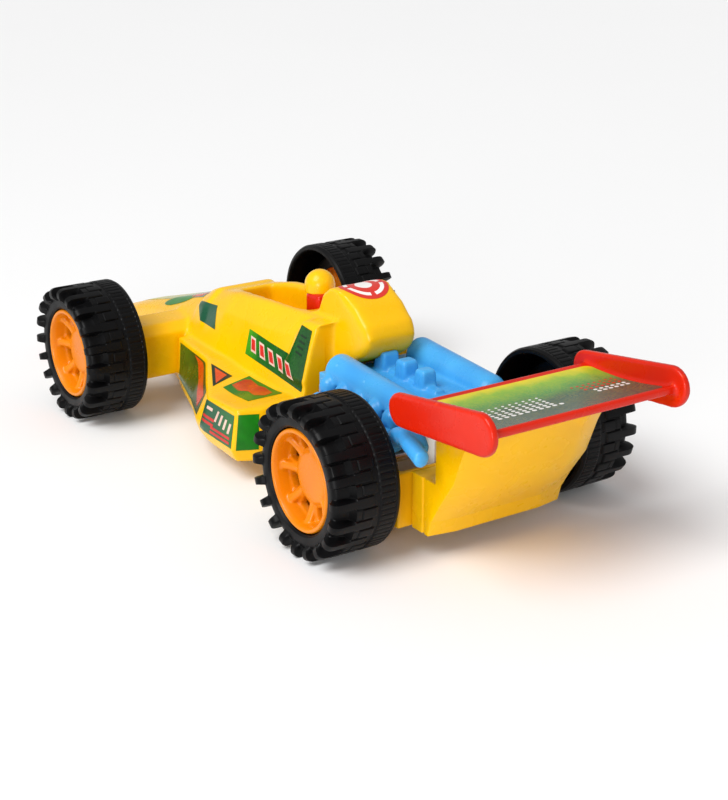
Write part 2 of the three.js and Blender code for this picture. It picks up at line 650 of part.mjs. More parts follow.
const [RIM, TYRE] = [rim(), tyre()];
[
  ["front_left", FRONT_RIM_X, FRONT_AXLE_Y, 1],
  ["front_right", FRONT_RIM_X, FRONT_AXLE_Y, -1],
  ["rear_left", REAR_RIM_X, REAR_AXLE_Y, 1],
  ["rear_right", REAR_RIM_X, REAR_AXLE_Y, -1],
].forEach(([where, x, y, side]) => {
  const wheel = new THREE.Group();
  wheel.position.set(side * x, y, AXLE_Z);
  wheel.rotation.z = side > 0 ? 0 : Math.PI;
  car.add(wheel);
  place(`rim_${where}`, RIM, orange(), wheel);
  place(`tyre_${where}`, TYRE, rubber(), wheel);
});

const AXLE_SHORT = HUB_DEPTH + WEB_T + GAP; // how far an axle ends inside the rim plane
const axle = (x, y) => rodX(AXLE_R, -x + AXLE_SHORT, x - AXLE_SHORT, y, AXLE_Z);
place("front_axle", axle(FRONT_RIM_X, FRONT_AXLE_Y), steel());
place("rear_axle", axle(REAR_RIM_X, REAR_AXLE_Y), steel());

place("motor_case_left", motorCaseLeft(), motorWhite());
place("motor_case_right", mirrored(motorCaseLeft()), motorWhite());
place("drive_gear", driveGear(), motorWhite());
place("idler_gear", idlerGear(), motorWhite());
place("spring_gear", springGear(), motorWhite());
place("mainspring", mainspring(), steel());
place("idler_pin", pin(IDLER), steel());
place("spring_arbor", pin(SPRING), steel());

export default car;
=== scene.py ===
"""The looks of the pull back racing car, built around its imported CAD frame.

Shapes are drawn in millimetres in the row frame (+Z up, the nose towards -Y, the car's left side
towards +X) and scaled to metres when an object is made.
"""
import math

import bmesh
import bpy
import numpy as np
from mathutils import Matrix, Vector
from mathutils.bvhtree import BVHTree


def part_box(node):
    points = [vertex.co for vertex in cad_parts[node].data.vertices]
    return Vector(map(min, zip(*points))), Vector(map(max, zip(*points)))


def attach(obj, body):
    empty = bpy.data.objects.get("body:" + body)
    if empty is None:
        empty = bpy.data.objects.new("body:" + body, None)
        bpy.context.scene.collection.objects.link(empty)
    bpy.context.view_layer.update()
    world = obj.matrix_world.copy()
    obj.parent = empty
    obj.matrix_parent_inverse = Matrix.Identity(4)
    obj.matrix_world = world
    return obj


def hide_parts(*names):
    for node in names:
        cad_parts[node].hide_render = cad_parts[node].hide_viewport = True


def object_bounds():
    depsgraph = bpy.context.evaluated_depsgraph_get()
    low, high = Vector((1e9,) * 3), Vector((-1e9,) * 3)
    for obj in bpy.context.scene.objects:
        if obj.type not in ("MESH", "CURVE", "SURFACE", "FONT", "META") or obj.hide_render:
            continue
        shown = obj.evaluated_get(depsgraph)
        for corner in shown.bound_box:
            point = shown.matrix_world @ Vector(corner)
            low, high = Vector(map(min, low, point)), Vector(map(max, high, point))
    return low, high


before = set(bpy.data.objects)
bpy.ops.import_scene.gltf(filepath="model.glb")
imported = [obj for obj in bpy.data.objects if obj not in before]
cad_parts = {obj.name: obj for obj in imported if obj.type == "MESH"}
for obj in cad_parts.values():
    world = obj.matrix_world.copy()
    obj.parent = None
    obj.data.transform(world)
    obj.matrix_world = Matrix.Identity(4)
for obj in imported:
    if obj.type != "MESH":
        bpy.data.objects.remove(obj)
CAD_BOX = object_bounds()

MM = 0.001
SIDES = {"left": 1, "right": -1}


# ---- places taken from the frame ------------------------------------------------------------
def low(node):
    return np.array(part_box(node)[0]) / MM


def high(node):
    return np.array(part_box(node)[1]) / MM


def middle(node):
    return (low(node) + high(node)) / 2


# ---- materials ------------------------------------------------------------------------------
def linear(red, green, blue):
    """A display colour, 0 to 255 a channel, as the linear colour that a shader takes."""
    scale = [c / 255 for c in (red, green, blue)]
    return [c / 12.92 if c <= 0.04045 else ((c + 0.055) / 1.055) ** 2.4 for c in scale] + [1]


def node(tree, kind, **inputs):
    made = tree.nodes.new("ShaderNode" + kind)
    for key, value in inputs.items():
        made.inputs[key.replace("_", " ")].default_value = value
    return made


def noise(tree, coords, scale, detail=3.0):
    made = node(tree, "TexNoise", Scale=scale, Detail=detail)
    tree.links.new(coords, made.inputs["Vector"])
    return made.outputs["Fac"]


def spread(tree, value, start, end, first, last):
    """Maps value from the range start..end to first..last, and holds it there outside."""
    made = node(tree, "MapRange")
    for key, number in zip(("From Min", "From Max", "To Min", "To Max"), (start, end, first, last)):
        made.inputs[key].default_value = number
    tree.links.new(value, made.inputs["Value"])
    return made.outputs["Result"]


def mixed(tree, factor, a, b):
    """Colour a where factor is 0 and b where it is 1. Each is a colour or a socket."""
    made = tree.nodes.new("ShaderNodeMix")
    made.data_type = "RGBA"
    # Inputs 6 and 7 and output 2 are the node's colour sockets.
    tree.links.new(factor, made.inputs[0])
    for socket, colour in ((made.inputs[6], a), (made.inputs[7], b)):
        if isinstance(colour, bpy.types.NodeSocket):
            tree.links.new(colour, socket)
        else:
            socket.default_value = colour
    return made.outputs[2]


def start_material(name):
    material = bpy.data.materials.new(name)
    material.use_nodes = True
    tree = material.node_tree
    coords = tree.nodes.new("ShaderNodeTexCoord").outputs["Object"]
    return material, tree, coords, tree.nodes["Principled BSDF"]


def add_bump(tree, shader, heights, depth_mm):
    bump = node(tree, "Bump", Strength=1.0, Distance=depth_mm * MM)
    tree.links.new(heights, bump.inputs["Height"])
    tree.links.new(bump.outputs["Normal"], shader.inputs["Normal"])


def moulded(name, light, deep, rough=(0.22, 0.34), worn=None, grain_mm=0.005, soft=0.0, shine=0.3):
    """Injection-moulded plastic: pigment that drifts a little, flow marks in the gloss, rubbed edges."""
    material, tree, coords, shader = start_material(name)
    cloud = spread(tree, noise(tree, coords, 38, 4), 0.36, 0.64, 0, 1)
    colour = mixed(tree, cloud, linear(*deep), linear(*light))
    speck = spread(tree, noise(tree, coords, 900, 2), 0.62, 0.74, 0, 0.12)
    colour = mixed(tree, speck, colour, linear(*deep))
    if worn:
        edge = tree.nodes.new("ShaderNodeNewGeometry").outputs["Pointiness"]
        colour = mixed(tree, spread(tree, edge, 0.53, 0.62, 0, 0.3), colour, linear(*worn))
    tree.links.new(colour, shader.inputs["Base Color"])
    gloss = spread(tree, noise(tree, coords, 120, 5), 0.35, 0.65, *rough)
    tree.links.new(gloss, shader.inputs["Roughness"])
    add_bump(tree, shader, noise(tree, coords, 620, 3), grain_mm)
    shader.inputs["Subsurface Weight"].default_value = soft
    shader.inputs["Subsurface Radius"].default_value = (0.004, 0.0025, 0.001)
    shader.inputs["Subsurface Scale"].default_value = 0.3
    shader.inputs["Specular IOR Level"].default_value = shine
    return material


def metal(name, light, deep, streak=(40, 900, 900)):
    """Drawn steel: fine lines round or along the piece, and a duller skin between them."""
    material, tree, coords, shader = start_material(name)
    stretch = node(tree, "Mapping", Scale=streak)
    tree.links.new(coords, stretch.inputs["Vector"])
    lines = noise(tree, stretch.outputs["Vector"], 3, 4)
    tree.links.new(mixed(tree, lines, linear(*deep), linear(*light)), shader.inputs["Base Color"])
    tree.links.new(spread(tree, lines, 0.3, 0.7, 0.2, 0.42), shader.inputs["Roughness"])
    shader.inputs["Metallic"].default_value = 1.0
    add_bump(tree, shader, lines, 0.01)
    return material


ALONG_X, ALONG_Y, ALONG_Z = range(3)


def printed(name, stops, axis, start, end, mottle, rough=0.24):
    """A printed sticker under clear film. Its ink runs through stops from start to end (mm) along
    an axis, and mottle lets the colours wander into each other as a coarse print does."""
    material, tree, coords, shader = start_material(name)
    parts = tree.nodes.new("ShaderNodeSeparateXYZ")
    tree.links.new(coords, parts.inputs["Vector"])
    along = spread(tree, parts.outputs[axis], start * MM, end * MM, 0, 1)
    drift = spread(tree, noise(tree, coords, 210, 3), 0.3, 0.7, -mottle, mottle)
    total = node(tree, "Math")
    tree.links.new(along, total.inputs[0])
    tree.links.new(drift, total.inputs[1])
    inks = tree.nodes.new("ShaderNodeValToRGB")
    elements = inks.color_ramp.elements
    for i, (place, colour) in enumerate(stops):
        element = elements[i] if i < 2 else elements.new(place)
        element.position = place
        element.color = linear(*colour)
    tree.links.new(total.outputs[0], inks.inputs["Fac"])
    dots = spread(tree, noise(tree, coords, 1500, 1), 0.45, 0.6, 0, 0.1)
    colour = mixed(tree, dots, inks.outputs["Color"], linear(*stops[0][1]))
    tree.links.new(colour, shader.inputs["Base Color"])
    gloss = spread(tree, noise(tree, coords, 90, 3), 0.35, 0.65, rough, rough + 0.1)
    tree.links.new(gloss, shader.inputs["Roughness"])
    add_bump(tree, shader, noise(tree, coords, 260, 2), 0.02)
    shader.inputs["Specular IOR Level"].default_value = 0.3
    shader.inputs["Coat Weight"].default_value = 0.08
    shader.inputs["Coat Roughness"].default_value = 0.1
    return material


def flat_print(name, colour, mottle_and_low_shade):
    """One ink, a little deeper in places and low down on the car; the deepening low down is painted shade.
    """
    # Deeper from z = 55 mm down to z = 5 mm: painted shade on every flat print.
    return printed(name, [(0, mottle_and_low_shade), (1, colour)], ALONG_Z, 5, 55, 0.35, rough=0.26)


YELLOW = moulded("yellow_plastic", (247, 191, 1), (243, 183, 0), worn=(255, 214, 30), soft=0.03)
BASE_YELLOW = moulded("yellow_plastic_base", (238, 180, 1), (229, 170, 0), rough=(0.3, 0.42))
RED = moulded("red_plastic", (210, 33, 2), (200, 27, 1), worn=(240, 80, 20), soft=0.02)
BLUE = moulded("blue_plastic", (74, 170, 230), (56, 150, 220), worn=(140, 206, 240), soft=0.03)
ORANGE = moulded("orange_plastic", (224, 130, 4), (214, 118, 2), worn=(240, 160, 40), soft=0.03)
TYRE = moulded("black_tyre", (10, 10, 11), (5, 5, 6), (0.3, 0.44), grain_mm=0.012, shine=0.14)
ACETAL = moulded("white_acetal", (236, 233, 224), (226, 222, 210), (0.35, 0.5))
STEEL = metal("drawn_steel", (206, 208, 212), (150, 152, 156))
SPRING_STEEL = metal("spring_steel", (150, 152, 160), (92, 92, 98), (900, 60, 60))


# ---- mesh building --------------------------------------------------------------------------
def level_across(direction):
    """The level unit vector at right angles to a direction, or +X for an upright one."""
    across = direction.cross(Vector((0, 0, 1)))
    return across.normalized() if across.length > 1e-3 else Vector((1, 0, 0))


def circle_points(centre, radius, count):
    turns = [2 * math.pi * k / count for k in range(count)]
    return [(centre[0] + radius * math.cos(a), centre[1] + radius * math.sin(a)) for a in turns]


class Form:
    """Closed solids, in millimetres, that a remesh later joins into one moulding."""

    def __init__(self):
        self.verts, self.faces = [], []

    def add(self, verts, faces, mirror=False):
        base = len(self.verts)
        self.verts += [tuple(v) for v in verts]
        self.faces += [[base + i for i in face] for face in faces]
        if mirror:
            base = len(self.verts)
            self.verts += [(-v[0], v[1], v[2]) for v in verts]
            self.faces += [[base + i for i in reversed(face)] for face in faces]

    def loft(self, rings, mirror=False):
        """Skin through rings that have the same number of points, with flat ends."""
        count = len(rings[0])
        last = (len(rings) - 1) * count
        verts = [p for ring in rings for p in ring]
        faces = []
        for base in range(0, last, count):
            for i in range(count):
                j = (i + 1) % count
                faces.append([base + i, base + j, base + count + j, base + count + i])
        faces.append(list(range(count))[::-1])
        faces.append([last + i for i in range(count)])
        self.add(verts, faces, mirror)

    def box(self, x, y, z, mirror=False):
        corners = ((x[0], y[0]), (x[1], y[0]), (x[1], y[1]), (x[0], y[1]))
        self.loft([[(*corner, h) for corner in corners] for h in z], mirror)

    def prism_x(self, outline, x0, x1, mirror=False):
        """A y, z outline swept along X."""
        self.loft([[(x, y, z) for y, z in outline] for x in (x0, x1)], mirror)

    def tube(self, points, radii, mirror=False, sides=24):
        """A round bar through points, with a radius at each."""
        points = [Vector(p) for p in points]
        rings = []
        for i, p in enumerate(points):
            along = (points[min(i + 1, len(points) - 1)] - points[max(i - 1, 0)]).normalized()
            side = level_across(along)
            up = side.cross(along)
            rings.append([
                tuple(p + radii[i] * (math.cos(a) * side + math.sin(a) * up))
                for a in (2 * math.pi * k / sides for k in range(sides))
            ])
        self.loft(rings, mirror)

    def ball(self, centre, radii, mirror=False, steps=16):
        """An ellipsoid, as rings between two small flats."""
        rings = []
        for i in range(steps + 1):
            a = math.pi * (0.02 + 0.96 * i / steps)
            rings.append([
                (
                    centre[0] + radii[0] * math.sin(a) * math.cos(t),
                    centre[1] + radii[1] * math.sin(a) * math.sin(t),
                    centre[2] - radii[2] * math.cos(a),
                )
                for t in (2 * math.pi * k / (2 * steps) for k in range(2 * steps))
            ])
        self.loft(rings, mirror)

    def add_node(self, name):
        """A copy of a CAD node's solid."""
        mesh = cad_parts[name].data
        self.add([tuple(v.co / MM) for v in mesh.vertices], [list(p.vertices) for p in mesh.polygons])


def linked(name, data):
    """An object in the scene around a mesh, a light or a camera."""
    obj = bpy.data.objects.new(name, data)
    bpy.context.scene.collection.objects.link(obj)
    return obj


def new_object(name, verts, faces, material, smooth_deg=40):
    """A mesh object from millimetres, shaded smooth except over edges sharper than smooth_deg."""
    mesh = bpy.data.meshes.new(name)
    mesh.from_pydata([tuple(np.array(v) * MM) for v in verts], [], faces)
    mesh.validate()
    obj = linked(name, mesh)
    mesh.materials.append(material)
    turn_outward(mesh)
    shade(mesh, smooth_deg)
    return obj


def turn_outward(mesh):
    bm = bmesh.new()
    bm.from_mesh(mesh)
    bmesh.ops.remove_doubles(bm, verts=bm.verts, dist=1e-7)
    bmesh.ops.recalc_face_normals(bm, faces=bm.faces)
    bm.to_mesh(mesh)
    bm.free()


def shade(mesh, smooth_deg):
    mesh.polygons.foreach_set("use_smooth", [True] * len(mesh.polygons))
    mesh.set_sharp_from_angle(angle=math.radians(smooth_deg))


def paint(mesh, material):
    """Makes material the only one on a mesh."""
    mesh.materials.clear()
    mesh.materials.append(material)


def with_modifier(obj, kind, **settings):
    """Adds a modifier, applies it and leaves the result as obj's mesh."""
    modifier = obj.modifiers.new(kind.lower(), kind)
    for key, value in settings.items():
        setattr(modifier, key, value)
    bpy.context.view_layer.update()
    graph = bpy.context.evaluated_depsgraph_get()
    made = bpy.data.meshes.new_from_object(obj.evaluated_get(graph))
    obj.modifiers.clear()
    old, obj.data = obj.data, made
    made.name = obj.name
    bpy.data.meshes.remove(old)
    return obj


def read_points(mesh):
    """A mesh's points, in millimetres."""
    co = np.empty(len(mesh.vertices) * 3)
    mesh.vertices.foreach_get("co", co)
    return co.reshape(-1, 3) / MM


def write_points(mesh, co):
    mesh.vertices.foreach_set("co", (co * MM).ravel())
    mesh.update()


RELAX_PULL = 0.6  # share of the way to its neighbours' mean that a point goes in one round


def relax(obj, rounds):
    """Rounds edges: each (times, weight) moves every point towards its neighbours' mean. weight is
    a function of the points in millimetres, from 0 to 1, or None for all of them."""
    mesh = obj.data
    count = len(mesh.vertices)
    co = read_points(mesh)
    ends = np.empty(len(mesh.edges) * 2, np.int64)
    mesh.edges.foreach_get("vertices", ends)
    a, b = ends.reshape(-1, 2).T
    near = np.maximum(np.bincount(a, minlength=count) + np.bincount(b, minlength=count), 1)
    for times, weight in rounds:
        share = RELAX_PULL if weight is None else RELAX_PULL * weight(co)[:, None]
        for _ in range(times):
            mean = np.stack([
                np.bincount(a, co[b, k], count) + np.bincount(b, co[a, k], count) for k in range(3)
            ], 1) / near[:, None]
            co += share * (mean - co)
    write_points(mesh, co)


def remesh(obj, voxel):
    with_modifier(obj, "REMESH", mode="VOXEL", voxel_size=voxel * MM)


def rounded_skin(obj, material, voxel, rounds=((3, None),), keep=1.0):
    """Joins obj's solids into one skin with the rounded edges that a mould gives."""
    remesh(obj, voxel)
    relax(obj, rounds)
    if keep < 1:
        with_modifier(obj, "DECIMATE", ratio=keep)
    paint(obj.data, material)
    shade(obj.data, 50)


def moulding(name, form, material, voxel, rounds=((3, None),), keep=1.0):
    """One skin over all of a form's solids."""
    obj = new_object(name, form.verts, form.faces, material)
    rounded_skin(obj, material, voxel, rounds, keep)
    return obj


def cut(obj, form):
    """Takes a form's solids away from obj."""
    cutter = new_object("cutter", form.verts, form.faces, obj.data.materials[0])
    with_modifier(
        obj, "BOOLEAN", object=cutter, operation="DIFFERENCE", solver="EXACT", use_self=True,
    )
    bpy.data.objects.remove(cutter)


def belongs(obj, body, slot, *nodes):
    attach(obj, body)
    if nodes:
        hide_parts(*nodes)
    return obj


def bevelled(obj, width):
    """Merges coplanar faces and rounds the edges between flat walls."""
    bm = bmesh.new()
    bm.from_mesh(obj.data)
    bmesh.ops.remove_doubles(bm, verts=bm.verts, dist=2e-6)
    bmesh.ops.dissolve_limit(bm, angle_limit=math.radians(1.5), verts=bm.verts, edges=bm.edges)
    bm.to_mesh(obj.data)
    bm.free()
    with_modifier(
        obj, "BEVEL", width=width * MM, segments=3, limit_method="ANGLE",
        angle_limit=math.radians(24), use_clamp_overlap=True,
    )
    shade(obj.data, 30)


def near_box(lo, hi, fade):
    """A weight that is 1 inside a box (mm) and falls to 0 over fade outside it."""
    lo, hi = np.array(lo), np.array(hi)

    def weight(co):
        out = np.maximum(np.maximum(lo - co, co - hi), 0)
        return np.clip(1 - np.linalg.norm(out, axis=1) / fade, 0, 1)

    return weight


# ---- body shell, base and tail --------------------------------------------------------------
def body_shell():
    """The shell's CAD form with a raised screen, shoulder blocks and rounded mouldings."""
    form = Form()
    form.add_node("body_shell")
    # The shoulder blocks stand proud of the cockpit sides and end in the shell's flat rear face.
    rear = 23.4
    form.loft([
        [(19.6, 10.2, 29), (19.9, rear, 29), (16, rear, 29), (16, 10.2, 29)],
        [(18.2, 12.4, 35), (18.4, rear, 35), (14, rear, 35), (14, 12.4, 35)],
        [(15.6, 15.4, 45.4), (15.4, rear, 45.8), (8, rear, 47), (8, 15.4, 46.6)],
        [(14.4, 16, 46.6), (14.2, rear, 47), (8, rear, 47.8), (8, 16, 47.4)],
    ], mirror=True)
    form.loft([screen_ring(y, grow) for y, grow in ((-53, 0.1), (-50.5, 1), (-44.6, 1), (-43.6, 0.2))])
    # A seat back, and a dash that slopes away in front of the driver's knees.
    form.box((-7.4, 7.4), (5.6, 8.4), (30, 45))
    form.loft([
        [(-5, -37.5, z), (5, -37.5, z), (7.4, -29, z), (-7.4, -29, z)] for z in (29.6, 33)
    ])
    # The airbox's belly reaches down to the engine.
    belly = [(18, 33), (30, 35.4), (35, 37.2), (38.6, 39.6), (40.6, 42.4), (41, 45.5), (38.6, 50)]
    form.prism_x(belly + [(18, 50)], -8.9, 8.9)
    air = near_box((-12, 28, 37), (12, 46, 60), 5)
    nose = near_box((-12, -131, 6), (12, -60, 40), 8)
    rim = near_box((-12, -44, 38), (12, 8, 50), 2)
    shell = moulding(
        "body_shell_skin", form, YELLOW, 0.5,
        ((8, None), (44, air), (10, nose), (8, rim)), keep=0.3,
    )
    lean_airbox(shell.data)
    return belongs(shell, "body", "yellow_plastic", "body_shell")


def screen_ring(y, grow):
    """Section of the screen, a low band across the front of the cockpit, grown from the shell."""
    t = (y + 54) / 10
    side_z, side_x, top_z, top_x = 32.6 + 3.4 * t, 14 + 0.6 * t, 36.4 + 3.8 * t, 8.5 + t
    left = [
        (side_x + 3.4, y, side_z - 7), (side_x + grow, y, side_z + 0.3 * grow),
        (top_x + 0.4 * grow, y, top_z + grow),
    ]
    return left + [(-x, y, z) for x, _, z in reversed(left)]


PRINT_ROOM = 0.35  # kept free for the roundel's print below the car's overall height


def lean_airbox(mesh):
    """Slopes the airbox's front edge back above the cockpit and swells its rear."""
    co = read_points(mesh)
    y, z = co[:, 1], co[:, 2]
    rearward = ramp(y, 15, 32)
    on_box = ramp(y, 4, 9)
    lean, swell = 5.0 * ramp(z, 45.5, 49), 1.2 * ramp(z, 36, 50)
    co[:, 1] += on_box * (lean * (1 - rearward) + swell * rearward)
    co[:, 2] = np.minimum(z, CAD_BOX[1][2] / MM - PRINT_ROOM)
    write_points(mesh, co)


def chassis_base():
    form = Form()
    form.add_node("chassis_base")
    base = moulding("chassis_base_skin", form, BASE_YELLOW, 0.5, ((2, None),), keep=0.3)
    return belongs(base, "body", "yellow_plastic", "chassis_base")


def tail_panel():
    """The swept tail, with a groove beside each corner post and two openings under the wing."""
    form = Form()
    form.add_node("tail_panel")
    tail = new_object("tail_panel_skin", form.verts, form.faces, YELLOW)
    gaps = Form()
    for side in (1, -1):
        gaps.box(sorted((side * 22, side * 24)), (88.2, 89.3), (7, 24))
    arch = ((4.2, 50), (4.2, 42.6), (5.6, 41.2), (11.2, 40.8), (12.8, 42.4), (12.8, 50))
    for side in (1, -1):
        gaps.loft([[(side * x, y, z) for x, z in arch] for y in (92, 130)])
    cut(tail, gaps)
    # The centre stands out from the corners, so the two outer facets turn away from it.
    fold_x, corner_x, face_y, stand_out = 14.0, high("tail_panel")[0], 88, 1.4
    for v in tail.data.vertices:
        if v.co.y / MM > face_y:
            share = (corner_x - abs(v.co.x) / MM) / (corner_x - fold_x)
            v.co.y += stand_out * MM * min(1, max(0, share))
    bevelled(tail, 0.3)
    return belongs(tail, "body", "yellow_plastic", "tail_panel")


# ---- driver ---------------------------------------------------------------------------------
def driver():
    centre, top = middle("driver_helmet"), high("driver_helmet")[2]
    radius = (high("driver_helmet")[0] - low("driver_helmet")[0]) / 2
    z = top - radius
    base = z - 2.2
    levels = [(base, radius), (z - 1, radius), (z, radius)]
    levels += [(z + radius * math.sin(a), radius * math.cos(a)) for a in np.linspace(0.15, 1.5, 14)]
    dome = Form()
    dome.loft([[(x, y, h) for x, y in circle_points((0, centre[1]), r, 64)] for h, r in levels])
    # A visor slot runs across the face.
    visor = Form()
    visor.box((-9, 9), (centre[1] - radius - 2, centre[1] - radius + 1.1), (z - 1.3, z + 1.1))
    helmet = new_object("driver_helmet_skin", dome.verts, dome.faces, YELLOW)
    cut(helmet, visor)
    rounded_skin(helmet, YELLOW, 0.22, ((5, None),))
    belongs(helmet, "body", "yellow_plastic", "driver_helmet")

    lo, hi, seat = low("driver_torso"), high("driver_torso"), middle("driver_torso")[1]
    half_x, half_y = (hi[0] - lo[0]) / 2, (hi[1] - lo[1]) / 2
    body = Form()
    body.loft([
        rounded(seat, half_x, half_y, lo[2]), rounded(seat, half_x, half_y, 37),
        rounded(4.2, 4.6, 3.8, 41), rounded(4.2, 4.5, 3.8, 49), rounded(4.4, 4.0, 3.4, base + 0.4),
    ])
    torso = moulding("driver_torso_skin", body, RED, 0.35, ((6, None),))
    belongs(torso, "body", "red_plastic", "driver_torso")


# ---- engine and exhausts --------------------------------------------------------------------
CAM_X, CAM_R = 14.2, 5.0
CAM_ENDS = ((34.0, 36.3), (73.0, 34.3))  # y and the height of the cover's axis, front and rear
PORTS_Y = range(37, 70, 8)
DECK_TOP_Z = 35.0


def cam_cover(form):
    """A half-round cover with a domed rear end and straight sides that run down into the deck."""
    (y0, z0), (y1, z1) = CAM_ENDS
    rings = []
    for y, shrink in ((y0, 0.9), (y0 + 0.9, 0), (y1 - 3.2, 0), (y1 - 1.2, 0.7), (y1, 2.4)):
        z = z0 + (z1 - z0) * (y - y0) / (y1 - y0)
        r = CAM_R - shrink
        over = np.linspace(0, math.pi, 28)
        arc = [(CAM_X + r * math.cos(a), y, z + r * math.sin(a)) for a in over]
        rings.append([(CAM_X + r, y, DECK_TOP_Z - 1)] + arc + [(CAM_X - r, y, DECK_TOP_Z - 1)])
    form.loft(rings, mirror=True)


def engine_block():
    form = Form()
    lo, hi = low("engine_block"), high("engine_block")
    y0, y1 = lo[1] + 0.1, hi[1] - 0.1
    form.box((-18, 18), (y0, y1), (DECK_TOP_Z - 1.3, DECK_TOP_Z))
    form.box((11.4, 18), (y0, y1), (28.6, DECK_TOP_Z), mirror=True)
    cam_cover(form)
    for y in PORTS_Y:
        # Each port is a rounded lump that leans out from under its cam cover.
        form.ball((18.4, y, 32.9), (3.7, 3.1, 3.5), mirror=True)
        form.tube([(16, y, 31.5), (21.4, y, 31.0)], [2.8, 2.4], mirror=True, sides=20)
    for i, y in enumerate((38.4, 48.6, 57.8)):
        # An inlet is a tapered block on a low plinth.
        wide, long, top = 3.0 - 0.15 * i, 2.9 - 0.2 * i, 41.0 - 0.2 * i
        form.loft([
            rounded(y, wide + 0.2, long + 0.3, DECK_TOP_Z - 1), rounded(y, wide, long, 36),
            rounded(y, wide - 0.2, long - 0.25, top - 0.9), rounded(y, wide - 0.6, long - 0.7, top),
        ])
        form.box((-1.6, 1.6), (y + 2.6, y + 7.2), (DECK_TOP_Z - 1, 36.2))
    block = new_object("engine_block_skin", form.verts, form.faces, BLUE)
    voxel = 0.36
    remesh(block, voxel)
    hollow = Form()
    # Room for the airbox, whose rear end overhangs the deck.
    room = [
        (8, 29), (8, 58), (32, 58), (40.2, 50), (41.4, 45), (40.6, 42), (38.2, 39.2), (34.8, 37),
        (30.2, 35.2), (20.4, 32.4),
    ]
    hollow.prism_x(room, -9.6, 9.6)
    cut(block, hollow)
    rounded_skin(block, BLUE, voxel)
    return belongs(block, "body", "blue_plastic", "engine_block")


def rounded(y, half_x, half_y, z, corner=0.9, steps=4):
    """A level rectangle about x = 0 with round corners, as points."""
    points = []
    for sx, sy, start in ((1, 1, 0), (-1, 1, 90), (-1, -1, 180), (1, -1, 270)):
        for k in range(steps + 1):
            a = math.radians(start + 90 * k / steps)
            points.append((
                sx * (half_x - corner) + corner * math.cos(a),
                y + sy * (half_y - corner) + corner * math.sin(a), z,
            ))
    return points


COLLECTOR_X, COLLECTOR_Z = 24.4, 27.6
COLLECTOR_ENDS = ((37.2, 0.3, 2.2), (39, 0.4, 2.8), (76, 2.5, 2.9), (79, 2.9, 2.7))  # y, rise, radius


def exhausts():
    """A collector along each side of the engine, its stubs, and a forked tail pipe."""
    for side, sign in SIDES.items():
        form = Form()
        x, z = sign * COLLECTOR_X, COLLECTOR_Z
        form.tube([(x, y, z + rise) for y, rise, _ in COLLECTOR_ENDS], [r for _, _, r in COLLECTOR_ENDS])
        for y in PORTS_Y:
            stub = [(sign * 21.6, y, 30.2), (sign * 23, y, 29.6), (x, y, z + 0.8)]
            form.tube(stub, [1.9, 2.2, 2.6], sides=18)
        for tip_x, tip_y in ((25.2, 92.6), (28.6, 97.6)):
            path = [(x, 76, z + 2.5)]
            for share, y, height in ((0.4, 82, 33.8), (0.5, 86, 35.0), (0.8, 90, 34.5)):
                path.append((sign * (COLLECTOR_X * (1 - share) + tip_x * share), y, height))
            path.append((sign * tip_x, tip_y - 1.2, 32.6))
            form.tube(path, [2.6, 2.5, 2.4, 2.35, 2.3])
            form.ball((sign * tip_x, tip_y - 1.4, 32.7), (2.45, 1.2, 2.45), steps=12)
        pipe = moulding(f"exhaust_{side}_skin", form, BLUE, 0.4, ((4, None),))
        belongs(pipe, "body", "blue_plastic", f"exhaust_{side}")


# ---- wings ----------------------------------------------------------------------------------
def plate_outline(front, back, steps=24):
    """Side view of an end plate: a small arc at the front and a large one at the back."""
    (fy, fz, fr), (by, bz, br) = front, back
    tilt = math.atan2(bz - fz, by - fy)
    taper = math.asin((br - fr) / math.hypot(by - fy, bz - fz))
    a, b = math.pi / 2 + taper, -math.pi / 2 - taper
    outline = []
    for cy, cz, r, start, end in ((by, bz, br, b, a), (fy, fz, fr, a, b + 2 * math.pi)):
        for k in range(steps + 1):
            t = start + (end - start) * k / steps + tilt
            outline.append((cy + r * math.cos(t), cz + r * math.sin(t)))
    return outline


WING_FRONT, WING_BACK = (91.0, 46.4), (126.6, 49.8)
WING_DIP, WING_THICK = 1.4, 1.8


def wing_top(y):
    t = (y - WING_FRONT[0]) / (WING_BACK[0] - WING_FRONT[0])
    return WING_FRONT[1] + (WING_BACK[1] - WING_FRONT[1]) * t - WING_DIP * math.sin(math.pi * t)


def rear_wing():
    half = high("rear_wing")[0]
    back = high("rear_wing")[1] - 5.6
    form = Form()
    ys = np.linspace(WING_FRONT[0], WING_BACK[0], 25)
    outline = [(y, wing_top(y) - WING_THICK) for y in ys] + [(y, wing_top(y)) for y in reversed(ys)]
    form.prism_x(outline, -half + 1, half - 1)
    # The lips along the front and rear edges stand a little above the dished top.
    for y, (z, tall) in ((WING_FRONT[0] + 0.8, (46.2, 0.7)), (WING_BACK[0] - 0.9, (49.5, 0.95))):
        form.tube([(-half + 1.2, y, z - 0.2), (half - 1.2, y, z - 0.2)], [tall, tall], sides=16)
    form.box((13.6, 18.4), (111.6, 114.4), (43.2, 46.6), mirror=True)
    plate = plate_outline((90.6, 44.9, 4.6), (back, 49.2, 5.6))
    middle_y = sum(p[0] for p in plate) / len(plate)
    middle_z = sum(p[1] for p in plate) / len(plate)

    def ring(x, inset):
        def inwards(value, centre, share):
            return value - share * math.copysign(inset, value - centre)

        return [(x, inwards(y, middle_y, 0.8), inwards(z, middle_z, 1)) for y, z in plate]

    form.loft([ring(half - 2.2, 0), ring(half - 0.5, 0), ring(half, 0.35)], mirror=True)
    wing = moulding("rear_wing_skin", form, RED, 0.42)
    return belongs(wing, "body", "red_plastic", "rear_wing")


